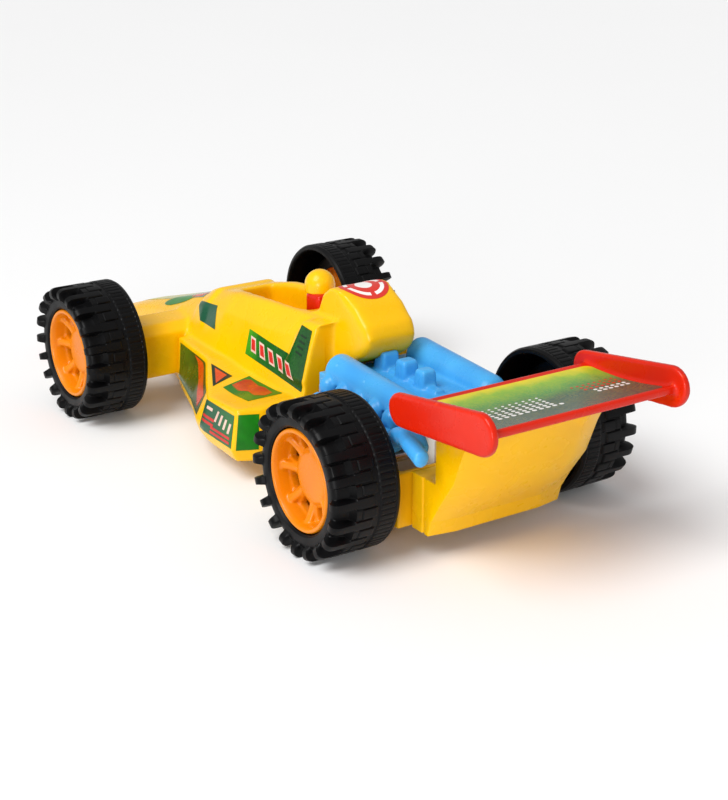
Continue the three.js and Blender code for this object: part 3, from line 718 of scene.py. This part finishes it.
def front_wing():
    form = Form()
    form.add_node("front_wing")
    half = high("front_wing")[0]
    # A stiffening rib along the front edge and two strakes on top.
    y0 = low("front_wing")[1]
    form.tube([(-half + 1.5, y0 + 1.1, 8.7), (half - 1.5, y0 + 1.1, 8.7)], [1.0, 1.0], sides=16)
    for x in (14, 26):
        form.box((x - 0.5, x + 0.5), (y0 + 3, y0 + 14), (8.4, 10.4), mirror=True)
    wing = moulding("front_wing_skin", form, RED, 0.4)
    return belongs(wing, "body", "red_plastic", "front_wing")


# ---- wheels ---------------------------------------------------------------------------------
LUGS = 20
TYRE_R = 21.8
TREAD_DEPTH = 0.5
PROFILE_LUG = [  # radius and depth behind the rim's lip, across a shoulder lug
    (14.75, 0.5), (15.3, -0.1), (16.2, -0.3), (17.3, -0.3), (17.9, -0.9), (18.5, -1.6), (19.2, -1.85),
    (20.3, -1.85), (20.9, -1.6), (21.4, -1.0), (21.7, -0.3), (21.8, 0.6), (21.8, 2.2), (21.8, 3.8),
    (21.8, 4.8),
]
PROFILE_VALLEY = [  # the same between two lugs
    (14.75, 0.5), (15.3, -0.1), (16.2, -0.3), (17.3, -0.3), (17.8, -0.25), (18.2, -0.1), (18.5, 0.1),
    (18.8, 0.3), (19.0, 0.6), (19.15, 1.0), (19.25, 1.6), (19.3, 2.2), (19.35, 3.0), (19.6, 3.9),
    (21.0, 4.8),
]
PROFILE_INSIDE = [  # round the inner edge, down the hollow inside and back to the rim
    (21.3, 18.55), (20.8, 18.7), (20.2, 18.7), (19.9, 18.4), (19.6, 17.4), (19.3, 12), (19.2, 6),
    # The black lip from radius 16.1 to 12.5 over the rim barrel's end is partly tyre and partly painted
    # shade that keeps the wheel's hollow dark.
    (18.8, 4.6), (17.6, 3.8), (16.9, 4.4), (16.6, 6), (16.5, 10), (16.1, 10.4), (12.9, 10.4), (12.5, 10.1),
    (12.5, 9.8), (12.9, 9.5), (14.7, 9.45), (14.75, 9.2), (14.75, 4),
]


def ramp(value, start, end):
    t = np.clip((value - start) / (end - start), 0, 1)
    return t * t * (3 - 2 * t)


def block(value, start, end, edge):
    """1 between start and end, with soft edges of that width inside them."""
    return ramp(value, start, start + edge) * (1 - ramp(value, end - edge, end))


def tread(u, t):
    """How far the tread's surface lies under the full radius, at depth u and lug turn t (0 to 1)."""
    edge_t, edge_u = 0.035, 0.28
    first = block(t, 0.03, 0.49, edge_t) * block(u, 4.6, 10.3, edge_u)
    second = block(t, 0.53, 0.97, edge_t) * block(u, 6.7, 11.5, edge_u)
    filler = 0.55 * block(t, 0.5, 1.0, edge_t) * block(u, 4.6, 6.9, edge_u)
    ribs = sum(block(t, k / 4 + 0.02, (k + 1) / 4 - 0.02, 0.03) for k in range(4))
    inner = block(u, 12.3, 17.2, edge_u) * (0.62 + 0.38 * ribs)
    smooth = ramp(u, 17.0, 17.3)
    raised = first
    for other in (second, filler, inner, smooth):
        raised = np.maximum(raised, other)
    return TREAD_DEPTH * (1 - raised)


def tyre_mesh():
    per_lug = 26
    around = LUGS * per_lug
    turn = np.arange(around) / per_lug
    t = (turn + 0.25) % 1.0
    on_lug = block(t, 0.0, 0.5, 0.1)[:, None]
    lug, valley = np.array(PROFILE_LUG), np.array(PROFILE_VALLEY)
    shoulder = on_lug[..., None] * lug + (1 - on_lug[..., None]) * valley
    depths = np.concatenate([np.arange(5.0, 18.2, 0.3), [18.3]])
    fall = tread(depths[None, :], t[:, None])
    crown = TYRE_R - fall - 0.5 * ramp(depths[None, :], 17.6, 18.6)
    crown = np.stack([crown, np.broadcast_to(depths, crown.shape)], -1)
    inside = np.broadcast_to(np.array(PROFILE_INSIDE), (around, len(PROFILE_INSIDE), 2))
    ring = np.concatenate([shoulder, crown, inside], 1)
    angle = 2 * np.pi * (turn / LUGS)[:, None]
    verts = np.stack([
        -ring[..., 1], ring[..., 0] * np.cos(angle), ring[..., 0] * np.sin(angle)
    ], -1).reshape(-1, 3)
    count = ring.shape[1]
    faces = []
    for i in range(around):
        j = (i + 1) % around
        for k in range(count):
            m = (k + 1) % count
            faces.append([i * count + k, i * count + m, j * count + m, j * count + k])
    return verts, faces


def lathe_ring(form, profile, sides=96):
    """A closed profile of radius and depth turned about X as one ring."""
    count = len(profile)
    verts = [
        (-d, r * math.cos(a), r * math.sin(a))
        for a in (2 * math.pi * k / sides for k in range(sides)) for r, d in profile
    ]
    faces = []
    for i in range(sides):
        j = (i + 1) % sides
        faces += [[i * count + k, i * count + (k + 1) % count, j * count + (k + 1) % count, j * count + k]
                  for k in range(count)]
    form.add(verts, faces)


def rim_form():
    """Barrel, domed hub disc and the eight ribs that join them, with the lip at x = 0."""
    form = Form()
    lathe_ring(form, [
        (14.4, 0.7), (14.1, 0.2), (13.7, 0.0), (13.2, 0.15), (12.7, 1.4), (12.5, 2.6), (12.3, 4.9),
        (12.0, 5.0), (12.0, 7.2), (12.9, 7.4), (13.0, 9.0), (13.3, 9.3), (14.1, 9.3), (14.4, 9.0),
    ])
    lathe_ring(form, [
        (0.02, 4.0), (3.0, 4.02), (6.3, 4.1), (7.0, 4.3), (7.5, 4.8), (8.3, 4.9), (8.4, 5.1), (8.4, 7.2),
        (3.9, 7.3), (3.8, 13.0), (1.8, 13.0), (1.8, 6.5), (0.02, 6.4),
    ])
    # Eight bars join the two rings, each with a rounded rib that climbs to the barrel's wall.
    bars = ((7.6, 4.8, 1.75), (9.4, 4.8, 1.85), (12.5, 4.8, 2.5))
    ribs = ((6.6, 4.3, 1.2), (8.6, 4.0, 1.25), (10.8, 3.2, 1.3), (12.7, 2.2, 1.4))
    for k in range(8):
        a = 2 * math.pi * k / 8
        for stations, back, shoulder in ((bars, 7.2, 0.2), (ribs, 6.0, 0.6)):
            rings = []
            for r, top, wide in stations:
                sloped = [(-wide, back), (-wide, top + shoulder), (shoulder - wide, top)]
                section = sloped + [(-s, d) for s, d in reversed(sloped)]
                rings.append([
                    (-d, r * math.cos(a) - s * math.sin(a), r * math.sin(a) + s * math.cos(a))
                    for s, d in section
                ])
            form.loft(rings)
    return form


def wheels():
    tyre_verts, tyre_faces = tyre_mesh()
    tyre = new_object("tyre_pattern", tyre_verts, tyre_faces, TYRE, 32).data
    rim = moulding("rim_pattern", rim_form(), ORANGE, 0.3).data
    for axle in ("front", "rear"):
        for side, sign in SIDES.items():
            where = f"{axle}_{side}"
            lip = (high if sign > 0 else low)(f"rim_{where}")[0]
            centre = middle(f"rim_{where}")
            for kind, mesh, slot in (("tyre", tyre, "black_tyre"), ("rim", rim, "orange_plastic")):
                piece = linked(f"{kind}_{where}_skin", mesh.copy())
                piece.data.name = piece.name
                if sign < 0:
                    piece.data.transform(Matrix.Rotation(math.pi, 4, "Z"))
                place = Vector((lip, centre[1], centre[2])) * MM
                piece.data.transform(Matrix.Translation(place))
                belongs(piece, f"{axle}_wheels", slot, f"{kind}_{where}")
    for name in ("tyre_pattern", "rim_pattern"):
        bpy.data.objects.remove(bpy.data.objects[name])


def axles():
    """Steel rods with chamfered ends."""
    for where in ("front", "rear"):
        name = f"{where}_axle"
        lo, hi, centre = low(name), high(name), middle(name)
        radius = (hi[1] - lo[1]) / 2
        half = (hi[0] - lo[0]) / 2
        chamfer = 0.4
        stations = [(-half, radius - chamfer), (-half + chamfer, radius)]
        stations += [(x, radius) for x in np.linspace(-half + 1, half - 1, 9)]
        stations += [(half - chamfer, radius), (half, radius - chamfer)]
        form = Form()
        form.loft([[(x, y, z) for y, z in circle_points(centre[1:], r, 48)] for x, r in stations])
        rod = new_object(f"{name}_skin", form.verts, form.faces, STEEL, 30)
        belongs(rod, f"{where}_wheels", "steel", name)


# ---- fasteners and motor --------------------------------------------------------------------
def screws():
    """Pan heads with a cross recess, seen from below."""
    for name in sorted(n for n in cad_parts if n.startswith("screw_")):
        lo, hi, centre = low(name), high(name), middle(name)
        radius = (hi[0] - lo[0]) / 2
        head = lo[2]
        domed = ((0, 0.9), (0.08, 1.5), (0.3, 1.9), (0.55, radius), (0.8, radius), (0.85, 1.1))
        rings = [(head + rise, r) for rise, r in domed] + [(hi[2] - 1.2, 1.1), (hi[2], 0.3)]
        form = Form()
        form.loft([[(x, y, z) for x, y in circle_points(centre[:2], r, 40)] for z, r in rings])
        screw = new_object(f"{name}_skin", form.verts, form.faces, STEEL, 30)
        cross = Form()
        for wide, long in ((0.28, 1.2), (1.2, 0.28)):
            across, along = ((centre[k] - half, centre[k] + half) for k, half in ((0, wide), (1, long)))
            cross.box(across, along, (head - 1, head + 0.5))
        cut(screw, cross)
        shade(screw.data, 30)
        belongs(screw, "body", "steel", name)


def motor_materials():
    """The motor's pieces and its case keep their CAD shape."""
    white = ("motor_case_left", "motor_case_right", "drive_gear", "idler_gear", "spring_gear")
    pins = ("idler_pin", "spring_arbor")
    for names, material in ((white, ACETAL), (pins, STEEL), (("mainspring",), SPRING_STEEL)):
        for name in names:
            paint(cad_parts[name].data, material)


# ---- stickers -------------------------------------------------------------------------------
FILM_THICK = 0.07
ON_PLASTIC, ON_PRINT, ON_TOP = 0.05, 0.11, 0.17  # how far a film's underside stands off the plastic
PRESS_FROM, PRESS_LENGTH = 3, 40  # where the rays that press a film on start, and how far they go


def tree_of(obj):
    mesh = obj.data
    verts = [v.co / MM for v in mesh.vertices]
    return BVHTree.FromPolygons(verts, [list(p.vertices) for p in mesh.polygons])


def sticker(name, surface, outlines, facing, material, slot, lift=ON_PLASTIC, step=0.9):
    """Flat outlines (lists of x, y, z in mm) pressed onto a surface from outside, cut into a fine
    grid so that they follow it, and given the thickness of a printed film."""
    facing = Vector(facing).normalized()
    across = level_across(facing)
    up = across.cross(facing)
    bm = bmesh.new()
    for outline in outlines:
        flat = [Vector(p) for p in outline]
        bm.faces.new([bm.verts.new((p.dot(across), p.dot(up), 0)) for p in flat])
    base = max(Vector(p).dot(facing) for outline in outlines for p in outline) + PRESS_FROM
    for axis, normal in enumerate((Vector((1, 0, 0)), Vector((0, 1, 0)))):
        values = [v.co[axis] for v in bm.verts]
        at = min(values) + step / 2
        while at < max(values):
            parts = bm.verts[:] + bm.edges[:] + bm.faces[:]
            bmesh.ops.bisect_plane(bm, geom=parts, plane_co=normal * at, plane_no=normal)
            at += step
    for v in bm.verts:
        start = across * v.co.x + up * v.co.y + facing * base
        hit = surface.ray_cast(start, -facing, PRESS_LENGTH)[0] or surface.find_nearest(start)[0]
        v.co = hit + facing * lift
    mesh = bpy.data.meshes.new(name)
    bm.to_mesh(mesh)
    bm.free()
    mesh.transform(Matrix.Scale(MM, 4))
    obj = linked(name, mesh)
    mesh.materials.append(material)
    if mesh.polygons and mesh.polygons[0].normal.dot(facing) < 0:
        mesh.flip_normals()
    with_modifier(obj, "SOLIDIFY", thickness=FILM_THICK * MM, offset=1)
    shade(obj.data, 60)
    return belongs(obj, "body", slot)


def side_sticker(name, surface, side, outlines, facing, *print_and_fit):
    """A sticker drawn for the left side, mirrored for the right one."""
    sign = SIDES[side]
    outlines = [[(sign * x, y, z) for x, y, z in outline] for outline in outlines]
    facing = (sign * facing[0], facing[1], facing[2])
    sticker(f"{name}_{side}", surface, outlines, facing, *print_and_fit)


def lerp(a, b, t):
    return tuple(p + (q - p) * t for p, q in zip(a, b))


def shrunk(outline, share):
    centre = [sum(p[k] for p in outline) / len(outline) for k in range(3)]
    return [lerp(p, centre, share) for p in outline]


def patch(corners, u, v):
    """A point of the four-cornered patch (front top, rear top, rear bottom, front bottom)."""
    top, bottom = lerp(corners[0], corners[1], u), lerp(corners[3], corners[2], u)
    return lerp(top, bottom, v)


def quad(corners, u0, u1, v0, v1, slant=0.0):
    """A slanted piece of a patch, as an outline."""
    ends = ((u0 + slant, v0), (u1 + slant, v0), (u1, v1), (u0, v1))
    return [patch(corners, u, v) for u, v in ends]


# Each flat print deepens towards the bottom of the car, as painted shade.
BRIGHT_GREEN = flat_print("print_bright_green", (26, 136, 14), (14, 106, 8))
PRINT_RED = flat_print("print_red", (214, 52, 40), (190, 36, 30))
PRINT_PALE = flat_print("print_pale", (236, 206, 190), (214, 176, 158))
PRINT_WHITE = flat_print("print_white", (244, 240, 236), (228, 224, 222))
PRINT_BLACK = flat_print("print_black", (12, 46, 20), (8, 34, 14))
SHOULDER_INK = printed(
    "print_shoulder", [(0, (66, 152, 28)), (0.28, (20, 96, 26)), (1, (6, 66, 18))],
    ALONG_Y, -13, 22, 0.1,
)
FLAME_INK = printed(
    "print_flame", [(0, (20, 110, 14)), (0.32, (150, 96, 12)), (0.55, (206, 66, 8)), (1, (176, 40, 8))],
    ALONG_X, 36, 22, 0.3,
)
PANEL_INK = printed(
    "print_panel", [(0, (58, 104, 16)), (0.5, (30, 72, 14)), (1, (22, 58, 12))],
    ALONG_Y, -52, -10, 0.2,
)
BAND_INK = printed(
    "print_band", [(0, (214, 78, 10)), (0.6, (196, 44, 10)), (1, (168, 30, 24))],
    ALONG_Z, 24, 10, 0.2,
)
SIDE_INK = printed(
    "print_side", [(0, (34, 86, 62)), (0.5, (22, 84, 50)), (1, (26, 100, 40))],
    ALONG_Y, -5, 17, 0.3,
)
FILM_INK = printed(
    "print_nose_film",
    [(0, (206, 196, 70)), (0.45, (176, 176, 96)), (0.8, (128, 142, 120)), (1, (112, 130, 124))],
    ALONG_Y, -118, -56, 0.16,
)
WING_INK = printed(
    "print_wing",
    [(0, (240, 208, 12)), (0.06, (222, 206, 26)), (0.18, (140, 182, 50)), (0.36, (88, 148, 66)),
     (0.54, (62, 92, 72)), (1, (54, 74, 68))],
    ALONG_Y, 92, 125, 0.035,
)


def shoulder_stickers(surface, side):
    vee = [
        (16.8, -12.6, 36.5), (19.1, -11.9, 29.0), (19.4, 6.4, 27.9), (19.6, 22.2, 26.6), (18.0, 22.6, 31),
        (14.2, 22.4, 44.4), (14.6, 16.6, 45.0), (17.3, 12.9, 35.2), (17.3, 1.0, 35.8),
    ]
    arm = [(16.9, -11.4, 35.9), (18.4, 18.0, 33.6), (19.5, 21.6, 27.6), (18.9, -11.0, 29.8)]
    marks = [quad(arm, u, u + 0.105, 0.16, 0.84, -0.05) for u in (0.07, 0.25, 0.43, 0.61, 0.79)]
    reds = [shrunk(m, 0.3) for m in marks]
    upright = [(14.9, 17.2, 44.2), (14.6, 21.4, 43.8), (16.9, 20.8, 35.0), (17.0, 15.4, 35.6)]
    vents = [quad(upright, 0.12, 0.8, v, v + 0.07) for v in (0.2, 0.4, 0.6, 0.8)]
    for name, outlines, *print_and_fit in (
        ("shoulder_mark", [vee], SHOULDER_INK, "yellow_plastic"),
        ("shoulder_bars_pale", marks, PRINT_PALE, "yellow_plastic", ON_PRINT, 0.8),
        ("shoulder_bars_red", reds, PRINT_RED, "red_plastic", ON_TOP, 0.8),
        ("shoulder_vents", vents, PRINT_BLACK, "black_tyre", ON_PRINT, 0.8),
    ):
        side_sticker(name, surface, side, outlines, (0.94, 0, 0.34), *print_and_fit)


def pod_stickers(surface, side):
    up, front, outward, corner = (0, 0, 1), (0.93, -0.2, 0.3), (1, 0, 0.1), (0.5, 0.86, 0)
    diamond = [(31.6, -4.0, 23), (21.8, -5.0, 24), (21.4, 14.4, 24.4), (32.2, 12.6, 23.4)]
    flame = [
        (28.9, -3.4, 24), (24.2, -3.8, 24), (22.7, -2.2, 24), (23.4, 3.4, 24), (22.6, 6.2, 24),
        (23.2, 11.6, 24), (26.0, 12.2, 24), (28.2, 9.2, 24), (27.6, 4.6, 24), (29.6, 1.8, 24),
    ]
    facet = [(26.4, -21.0, 24), (25.6, -8.8, 24), (33.6, -6.8, 22.4)]
    spark = [(27.0, -17.6, 24), (26.6, -10.6, 24), (32.0, -7.8, 24)]
    panel = [
        (23.2, -49.6, 23), (26.4, -26.2, 23.4), (36.2, -7.6, 21), (36.8, -10.6, 12.6),
        (23.2, -49.6, 11),
    ]
    band = [(25.2, -36.4, 22.9), (26.6, -28.0, 22.9), (36.0, -9.6, 19.4), (34.4, -13.6, 13.8)]
    wall = [(37.9, -2.6, 20.6), (39.2, 16.6, 21.4), (40.4, 16.8, 11.4), (39.0, -5.6, 10.8)]
    bars = [quad(wall, 0.04, 0.42, v, v + 0.09) for v in (0.46, 0.62)]
    bars += [quad(wall, 0.36, 0.94, v, v + 0.08) for v in (0.7, 0.84)]
    ticks = [
        quad(wall, u, u + 0.06, 0.14 + 0.05 * k, 0.5 + 0.04 * k, 0.05)
        for k, u in enumerate((0.42, 0.56, 0.7, 0.84))
    ]
    ticks.append(quad(wall, 0.1, 0.3, 0.16, 0.26))
    wrap = [(38.6, 17.9, 21.9), (33.0, 20.4, 21.9), (33.4, 20.4, 11.0), (39.8, 17.9, 11.0)]
    for name, outlines, facing, *print_and_fit in (
        ("pod_top_mark", [diamond], up, BRIGHT_GREEN, "yellow_plastic"),
        ("pod_top_flame", [flame], up, FLAME_INK, "orange_plastic", ON_PRINT),
        ("pod_facet_mark", [facet], up, PRINT_BLACK, "yellow_plastic"),
        ("pod_facet_red", [spark], up, BAND_INK, "red_plastic", ON_PRINT),
        ("pod_front_mark", [panel], front, PANEL_INK, "yellow_plastic"),
        ("pod_front_band", [band], front, BAND_INK, "red_plastic", ON_PRINT),
        ("pod_side_mark", [wall], outward, SIDE_INK, "yellow_plastic"),
        ("pod_side_bars", bars, outward, PRINT_RED, "red_plastic", ON_PRINT),
        ("pod_side_ticks", ticks, outward, PRINT_PALE, "yellow_plastic", ON_PRINT),
        ("pod_corner_mark", [wrap], corner, BRIGHT_GREEN, "yellow_plastic"),
    ):
        side_sticker(name, surface, side, outlines, facing, *print_and_fit)


def nose_stickers(surface):
    up, above = (0, 0, 1), 40
    half_widths = ((-116, 3.4), (-104, 5.0), (-90, 6.2), (-74, 8.2), (-60, 9.6), (-56, 10))
    film = [(x, y, above) for y, x in half_widths]
    film += [(-x, y, z) for x, y, z in reversed(film)]
    sticker("nose_film", surface, [film], up, FILM_INK, "yellow_plastic", ON_PLASTIC, 1.1)
    turns = np.linspace(0, 2 * math.pi, 28)[:-1]
    oval = [(8.4 + 2.6 * math.cos(a), -76 + 11 * math.sin(a), above) for a in turns]
    dart = [(4.0, -72, above), (8.2, -68, above), (9.2, -58.6, above), (4.6, -57.4, above)]
    screen = [(13.2, -50.6, 35.2), (14.4, -37.0, 37.2), (18.0, -33.6, 30.8), (16.6, -45.0, 30.4)]
    for side in SIDES:
        for name, outline, facing, *print_and_fit in (
            ("nose_mark_green", oval, up, BRIGHT_GREEN, "yellow_plastic", ON_PRINT),
            ("nose_mark_orange", dart, up, BAND_INK, "orange_plastic", ON_PRINT),
            ("screen_mark", screen, (0.85, -0.1, 0.5), SIDE_INK, "yellow_plastic"),
        ):
            side_sticker(name, surface, side, [outline], facing, *print_and_fit)


def roundel(surface):
    """A red disc with a broken white ring and a white dot, on top of the airbox."""
    up, centre, z = (0, 0.1, 1), (-0.5, 25.4), 60

    def arc(radius, start, end):
        return [
            (centre[0] + radius * math.cos(a), centre[1] + radius * math.sin(a), z)
            for a in np.linspace(start, end, 12)
        ]

    disc = [(x, y, z) for x, y in circle_points(centre, 7.6, 60)]
    sticker("airbox_roundel", surface, [disc], up, PRINT_RED, "red_plastic", ON_PLASTIC, 0.8)
    arcs = []
    for k in range(4):
        start = math.pi / 2 * k + 0.14
        end = start + 1.29
        arcs.append(arc(6.2, start, end) + arc(5.0, end, start))
    arcs.append([(x, y, z) for x, y in circle_points(centre, 2.6, 32)])
    sticker("airbox_roundel_white", surface, arcs, up, PRINT_WHITE, "white_plastic", ON_PRINT, 0.8)


def wing_stickers(surface):
    """A sheet that fills the wing's top, and two fields of dots on it."""
    up, above = (0, -0.05, 1), 52
    half_x = high("rear_wing")[0] - 3.2
    y0, y1 = WING_FRONT[0] + 2.2, WING_BACK[0] - 3.0
    sheet = rounded((y0 + y1) / 2, half_x, (y1 - y0) / 2, above, corner=2.0, steps=6)
    sticker("wing_sticker", surface, [sheet], up, WING_INK, "yellow_plastic", ON_PLASTIC, 1.2)
    white, red = [], []
    fields = ((24.0, -1.5, -2.2, 106.4, 6), (-13.0, -28.2, -1.95, 105.2, 5))
    for start, end, step, first_y, rows in fields:
        for row in range(rows):
            y, size = first_y + 1.75 * row, 0.4 + 0.06 * row
            x = start - 0.9 * row - (1.0 if row % 2 else 0)
            while x > end:
                dot = [(px, py, above) for px, py in circle_points((x, y), size, 8)]
                (red if start < 0 and row < 3 else white).append(dot)
                x += step
    sticker("wing_dots_white", surface, white, up, PRINT_WHITE, "white_plastic", ON_PRINT, 5)
    sticker("wing_dots_red", surface, red, up, PRINT_RED, "red_plastic", ON_PRINT, 5)


# ---- stage ----------------------------------------------------------------------------------
def camera():
    """The view from behind the car's left rear wheel, a little above it."""
    centre = (CAD_BOX[0] + CAD_BOX[1]) / 2
    target = Vector(centre) + Vector((-12.4, 7.6, -15.6)) * MM
    azimuth, elevation, distance = math.radians(146.52), math.radians(20.33), 0.52
    back = Vector((
        math.sin(azimuth) * math.cos(elevation), -math.cos(azimuth) * math.cos(elevation),
        math.sin(elevation),
    ))
    data = bpy.data.cameras.new("camera")
    data.lens, data.sensor_width = 74.04, 36
    data.clip_start, data.clip_end = 0.01, 20
    obj = linked("camera", data)
    obj.location = target + back * distance
    obj.rotation_euler = back.to_track_quat("Z", "Y").to_euler()
    bpy.context.scene.camera = obj


def area_light(name, place, aim, size, power, colour=(1, 1, 1)):
    data = bpy.data.lights.new(name, "AREA")
    data.shape, data.size, data.energy, data.color = "SQUARE", size, power, colour
    obj = linked(name, data)
    obj.location = place
    obj.rotation_euler = (Vector(place) - Vector(aim)).to_track_quat("Z", "Y").to_euler()


def studio():
    """A pale floor under a pale sky, one large soft key above the left side, and two fills."""
    floor_mesh = bpy.data.meshes.new("floor")
    reach = 60.0
    corners = [(x * reach, y * reach, 0) for x, y in ((-1, -1), (1, -1), (1, 1), (-1, 1))]
    floor_mesh.from_pydata(corners, [], [(0, 1, 2, 3)])
    floor = linked("floor", floor_mesh)
    material, tree, coords, shader = start_material("pale_floor")
    tone = mixed(tree, noise(tree, coords, 3, 2), (0.9, 0.9, 0.9, 1), (0.92, 0.92, 0.92, 1))
    tree.links.new(tone, shader.inputs["Base Color"])
    shader.inputs["Roughness"].default_value = 0.75
    shader.inputs["Specular IOR Level"].default_value = 0.1
    floor_mesh.materials.append(material)
    world = bpy.data.worlds.new("studio")
    world.use_nodes = True
    sky = world.node_tree.nodes["Background"]
    sky.inputs["Color"].default_value = (1, 1, 1, 1)
    sky.inputs["Strength"].default_value = 0.46
    bpy.context.scene.world = world
    bpy.context.scene.view_settings.view_transform = "Standard"
    sun = bpy.data.lights.new("sky_key", "SUN")
    sun.energy, sun.angle = 2.1, math.radians(38)
    overhead = linked("sky_key", sun)
    overhead.rotation_euler = Vector((0.7, 0.12, 1.0)).to_track_quat("Z", "Y").to_euler()
    aim = (0, 0.02, 0.02)
    area_light("softbox_left", (0.75, 0.15, 0.75), aim, 0.35, 1.2)
    area_light("softbox_low", (0.85, 0.8, 0.22), aim, 0.35, 4.5)


# ---- build ----------------------------------------------------------------------------------
camera()
studio()
shell = body_shell()
chassis_base()
tail_panel()
driver()
engine_block()
exhausts()
wing = rear_wing()
front_wing()
wheels()
axles()
screws()
motor_materials()

shell_surface, wing_surface = tree_of(shell), tree_of(wing)
for side_name in SIDES:
    shoulder_stickers(shell_surface, side_name)
    pod_stickers(shell_surface, side_name)
nose_stickers(shell_surface)
roundel(shell_surface)
wing_stickers(wing_surface)
